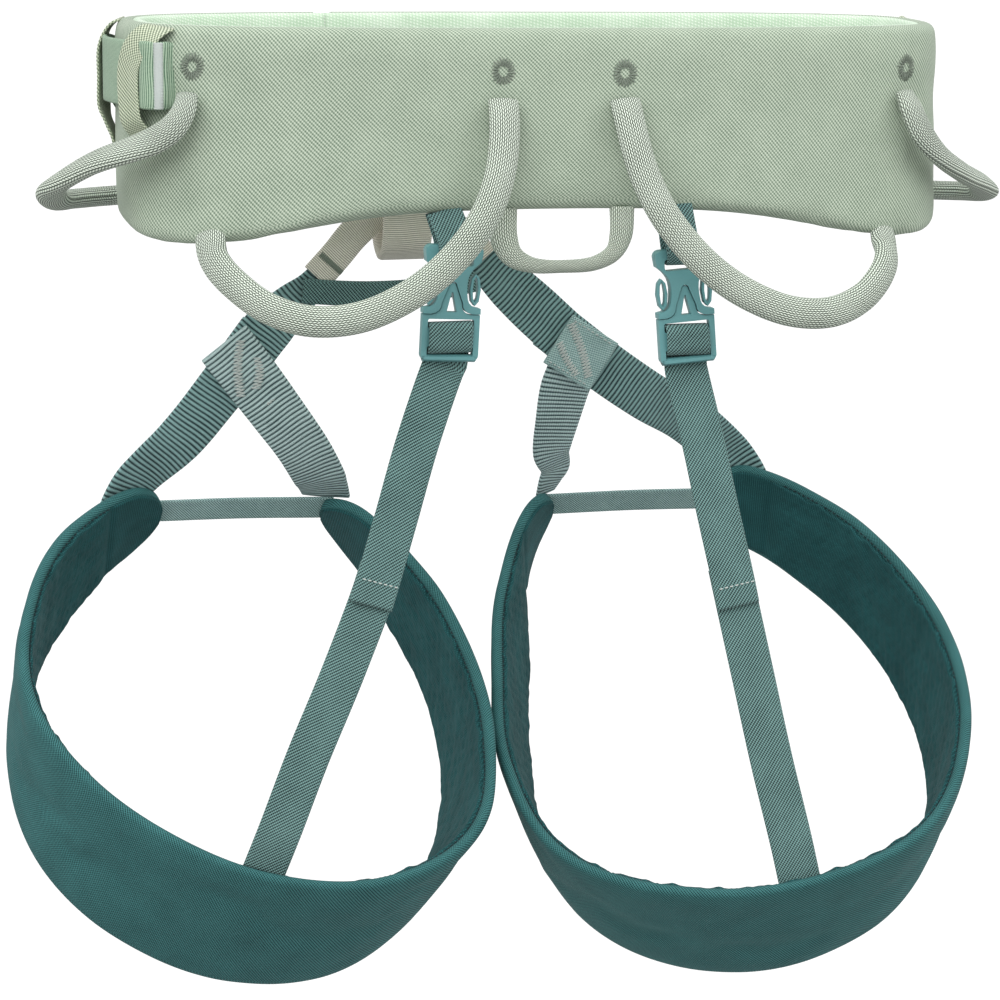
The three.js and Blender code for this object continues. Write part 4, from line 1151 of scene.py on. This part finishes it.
def make_risers(label):
    leg, riser = LEGS[label], RISERS[label]
    upper = strap(f"riser_upper_{label}_web", riser["upper"], riser["upper_faces"], riser["widths"],
                  RISER_THICK, RISER_WEB, ROOT, ripple=0.35, columns=11)
    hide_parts(f"riser_upper_{label}")
    for arm in ("outer", "inner"):
        run = over_tongue(leg, *riser[f"{arm}_on"])
        stops = riser[arm] + [p for p, _ in run]
        faces = [[0, -1, -0.5 * i / len(riser[arm])] for i in range(len(riser[arm]))] + [f for _, f in run]
        widths = riser.get(f"{arm}_widths", [25] * (len(stops) - 3) + [24.5, 23, 22])
        # The inner arms take the lighter copy of the riser webbing, which is painted light.
        cloth = ARM_WEB_PAINTED_LIGHT if arm == "inner" else RISER_WEB
        web = strap(f"riser_{arm}_{label}_web", stops, faces, widths, RISER_THICK, cloth,
                    ripple=0.4, seed=5 if arm == "outer" else 8, columns=11)
        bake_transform(web)
        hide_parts(f"riser_{arm}_{label}")
    if label == "right":
        reach = PATCH_ALONG * PATCH_SIDE / 2
        patch = strap("riser_patch_right", [np.array(PATCH_CENTRE) + reach * a for a in (-1, -0.4, 0.4, 1)],
                      BACK, PATCH_SIDE, 1.4, PATCH_WEB, ripple=0.3, columns=13)
        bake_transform(patch)
    tack = threads(f"riser_tack_{label}", riser_stitches(label), PALE_THREAD, None, radius=0.3)
    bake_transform(tack)


def make_front_elastic(label):
    leg = LEGS[label]
    start, end = on_leg(leg, 0.0, 0.5, 3.0), on_leg(leg, 1.0, 0.5, 3.0)
    step = unit(end - start) * 5
    stops = [start - step, start, (start + end) / 2 + [0, 0, 0.5], end, end + step]
    # The front elastic's paler cloth is painted light against its shade.
    web = strap(f"leg_front_elastic_{label}_web", stops, [0, -1, -0.6], 13, 1.4, FRONT_ELASTIC_PAINTED_LIGHT,
                f"{label}_leg_loop")
    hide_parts(f"leg_front_elastic_{label}")


# ---- rear buckles' straps ----

REAR = {
    "left": dict(x=-50.2, z=-77.3, lean=3, tab_x=-53),
    "right": dict(x=57.8, z=-81.9, lean=-4, tab_x=52.8),
}
BUCKLE_REAR_Y, HOOK_HEIGHT = -60, 31
ELASTIC_WIDTH, ELASTIC_THICK = 20, 1.4
ELASTICS = {
    "left": dict(
        upper=[[-52.5, -56.6, -101], [-65.5, -62, -133], [-76, -64, -167], [-84.3, -65.2, -194],
               [-88, -65.4, -206]],
        lower=[[-82.4, -62.8, -189], [-87.6, -63, -204], [-102, -64.5, -239], [-117, -65.5, -273],
               [-130, -65.5, -306], [-137, -62.5, -325]]),
    "right": dict(
        upper=[[59.4, -56.8, -106], [66, -62, -138], [72, -66.5, -170], [78.5, -70.4, -202],
               [80.6, -71.4, -213]],
        lower=[[77.2, -67.4, -195], [80, -69, -209], [87.5, -73, -246], [95, -77, -283],
               [104, -80.5, -322], [108.6, -80.5, -342]]),
}


def on_rear_buckle(label, across, y, up):
    """Point in the frame of a rear buckle, which leans by a few degrees."""
    buckle = REAR[label]
    lean = math.radians(buckle["lean"])
    return [buckle["x"] + across * math.cos(lean) + up * math.sin(lean), BUCKLE_REAR_Y + y,
            buckle["z"] - across * math.sin(lean) + up * math.cos(lean)]


def make_rear_tab(label):
    tab_x = REAR[label]["tab_x"]
    hook_bar = HOOK_HEIGHT - 2.1
    stops = [[tab_x, -55.4, -31]] + [on_rear_buckle(label, a, y, hook_bar + up) for a, y, up in (
        (-0.5, 4.6, 4), (0, 4.6, -0.5), (0, 2.6, -4.2), (0, -2.6, -4.2), (0, -4.6, -0.5), (-0.5, -4.6, 4))]
    stops.append([tab_x, -59.8, -31])
    faces = [FRONT, FRONT, [0, 1, -0.3], [0, 0.5, -1], [0, -0.5, -1], [0, -1, -0.3], BACK,
             BACK]
    tab = strap(f"rear_tab_{label}_web", stops, faces, 15.5, 1.4, TEAL_ELASTIC, ROOT, step=1)
    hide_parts(f"rear_tab_{label}")
    bar = [on_rear_buckle(label, a, 0, -19.4) for a in (-12, -4, 4, 12)]
    strap(f"rear_frame_bar_{label}", bar, BACK, 3.6, 5.2, PLASTIC, ROOT)


def make_rear_elastic(label):
    wrap = [[5.4, -19], [5.2, -10], [4.2, -5.6], [1.8, -4], [-1.8, -4], [-3.5, -5.8], [-3.6, -10],
            [-3.5, -14.2], [-1.8, -16.4], [1.8, -16.6], [3.5, -18.6], [3.8, -22]]
    wrap_faces = [FRONT, FRONT, [0, 1, 0.7], [0, 0.2, 1], [0, -0.2, 1], [0, -1, 0.7], BACK,
                  [0, -1, -0.7], [0, -0.2, -1], [0, -0.2, -1], [0, -1, -0.7], BACK]
    route = ELASTICS[label]
    stops = [on_rear_buckle(label, 0, y, up) for y, up in wrap] + route["upper"]
    faces = wrap_faces + [BACK] * len(route["upper"])
    for part, points, directions in (("upper", stops, faces), ("lower", route["lower"], BACK)):
        web = strap(f"rear_elastic_{part}_{label}_web", points, directions, ELASTIC_WIDTH, ELASTIC_THICK,
                    TEAL_ELASTIC, step=1.4, columns=11)
        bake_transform(web)
        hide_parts(f"rear_elastic_{part}_{label}")
    top, bottom = np.array(route["upper"][-2]), np.array(route["upper"][-1])
    down = unit(bottom - top)
    side = unit(np.cross(down, BACK))
    middle = top + down * 1.5 + [0, -0.75, 0]
    row = [middle + side * a for a in np.linspace(-9.3, 9.3, 20)]
    seam = threads(f"elastic_seam_{label}", line_stitches(row, BACK, 1.6, 0.9), PALE_THREAD, None, 0.3)
    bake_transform(seam)


# ---- stage, camera and light ----

CAMERA = (-495.6, -1936.9, 179.4)
TARGET = (-19.07, -25.75, -167.86)
LENS = 158.4
FLOOR_Z, FLOOR_REACH = -1200, 60000


def aim(thing, place, target):
    thing.location = Vector(place) * MM
    direction = Vector(target) - Vector(place)
    thing.rotation_euler = direction.to_track_quat("-Z", "Y").to_euler()


def add_sun(name, place, strength, softness):
    light = bpy.data.lights.new(name, "SUN")
    light.energy = strength
    light.angle = math.radians(softness)
    aim(placed(name, light), place, TARGET)


def make_sky():
    """Soft studio light from all round, weaker from below."""
    world = bpy.data.worlds.new("world")
    world.use_nodes = True
    tree = world.node_tree
    place = tree.nodes.new("ShaderNodeTexCoord")
    split = tree.nodes.new("ShaderNodeSeparateXYZ")
    tree.links.new(place.outputs["Generated"], split.inputs[0])
    level = tree.nodes.new("ShaderNodeMapRange")
    level.interpolation_type = "SMOOTHSTEP"
    for socket, value in (("From Min", -0.7), ("From Max", 0.5), ("To Min", 0.44), ("To Max", 0.9)):
        level.inputs[socket].default_value = value
    tree.links.new(split.outputs[2], level.inputs["Value"])
    background = tree.nodes["Background"]
    background.inputs["Color"].default_value = (1, 1, 1, 1)
    tree.links.new(level.outputs[0], background.inputs["Strength"])
    bpy.context.scene.world = world


def make_stage():
    mesh = bpy.data.meshes.new("floor")
    corners = ((-1, -1), (1, -1), (1, 1), (-1, 1))
    mesh.from_pydata([(x * FLOOR_REACH * MM, y * FLOOR_REACH * MM, FLOOR_Z * MM) for x, y in corners], [],
                     [(0, 1, 2, 3)])
    floor = placed("floor", mesh)
    material, _, shader = new_material("floor_paint")
    shader.inputs["Base Color"].default_value = (0.82, 0.82, 0.82, 1)
    shader.inputs["Roughness"].default_value = 0.9
    mesh.materials.append(material)
    floor.visible_diffuse = False
    camera = bpy.data.cameras.new("camera")
    camera.lens = LENS
    camera.sensor_width = 36
    camera.clip_end = 200
    thing = placed("camera", camera)
    aim(thing, CAMERA, TARGET)
    bpy.context.scene.camera = thing
    make_sky()
    bpy.context.scene.view_settings.view_transform = "Standard"
    add_sun("key", (-1500, -2200, 2100), 1.9, 55)
    add_sun("fill", (2200, -1300, 900), 0.8, 60)


make_tacks(make_belt_cover())
make_belt_lining()
make_gear_loops()
make_haul_loop()
make_waist_webbing()
for hip_side, hip_label in ((-1, "left"), (1, "right")):
    make_hip_bands(hip_side, hip_label)
make_keepers()
make_hard_parts()
make_tie_ins()
for leg_label in ("left", "right"):
    make_leg_cover(leg_label)
    make_leg_lining(leg_label)
    make_risers(leg_label)
    make_front_elastic(leg_label)
    make_rear_tab(leg_label)
    make_rear_elastic(leg_label)
make_stage()
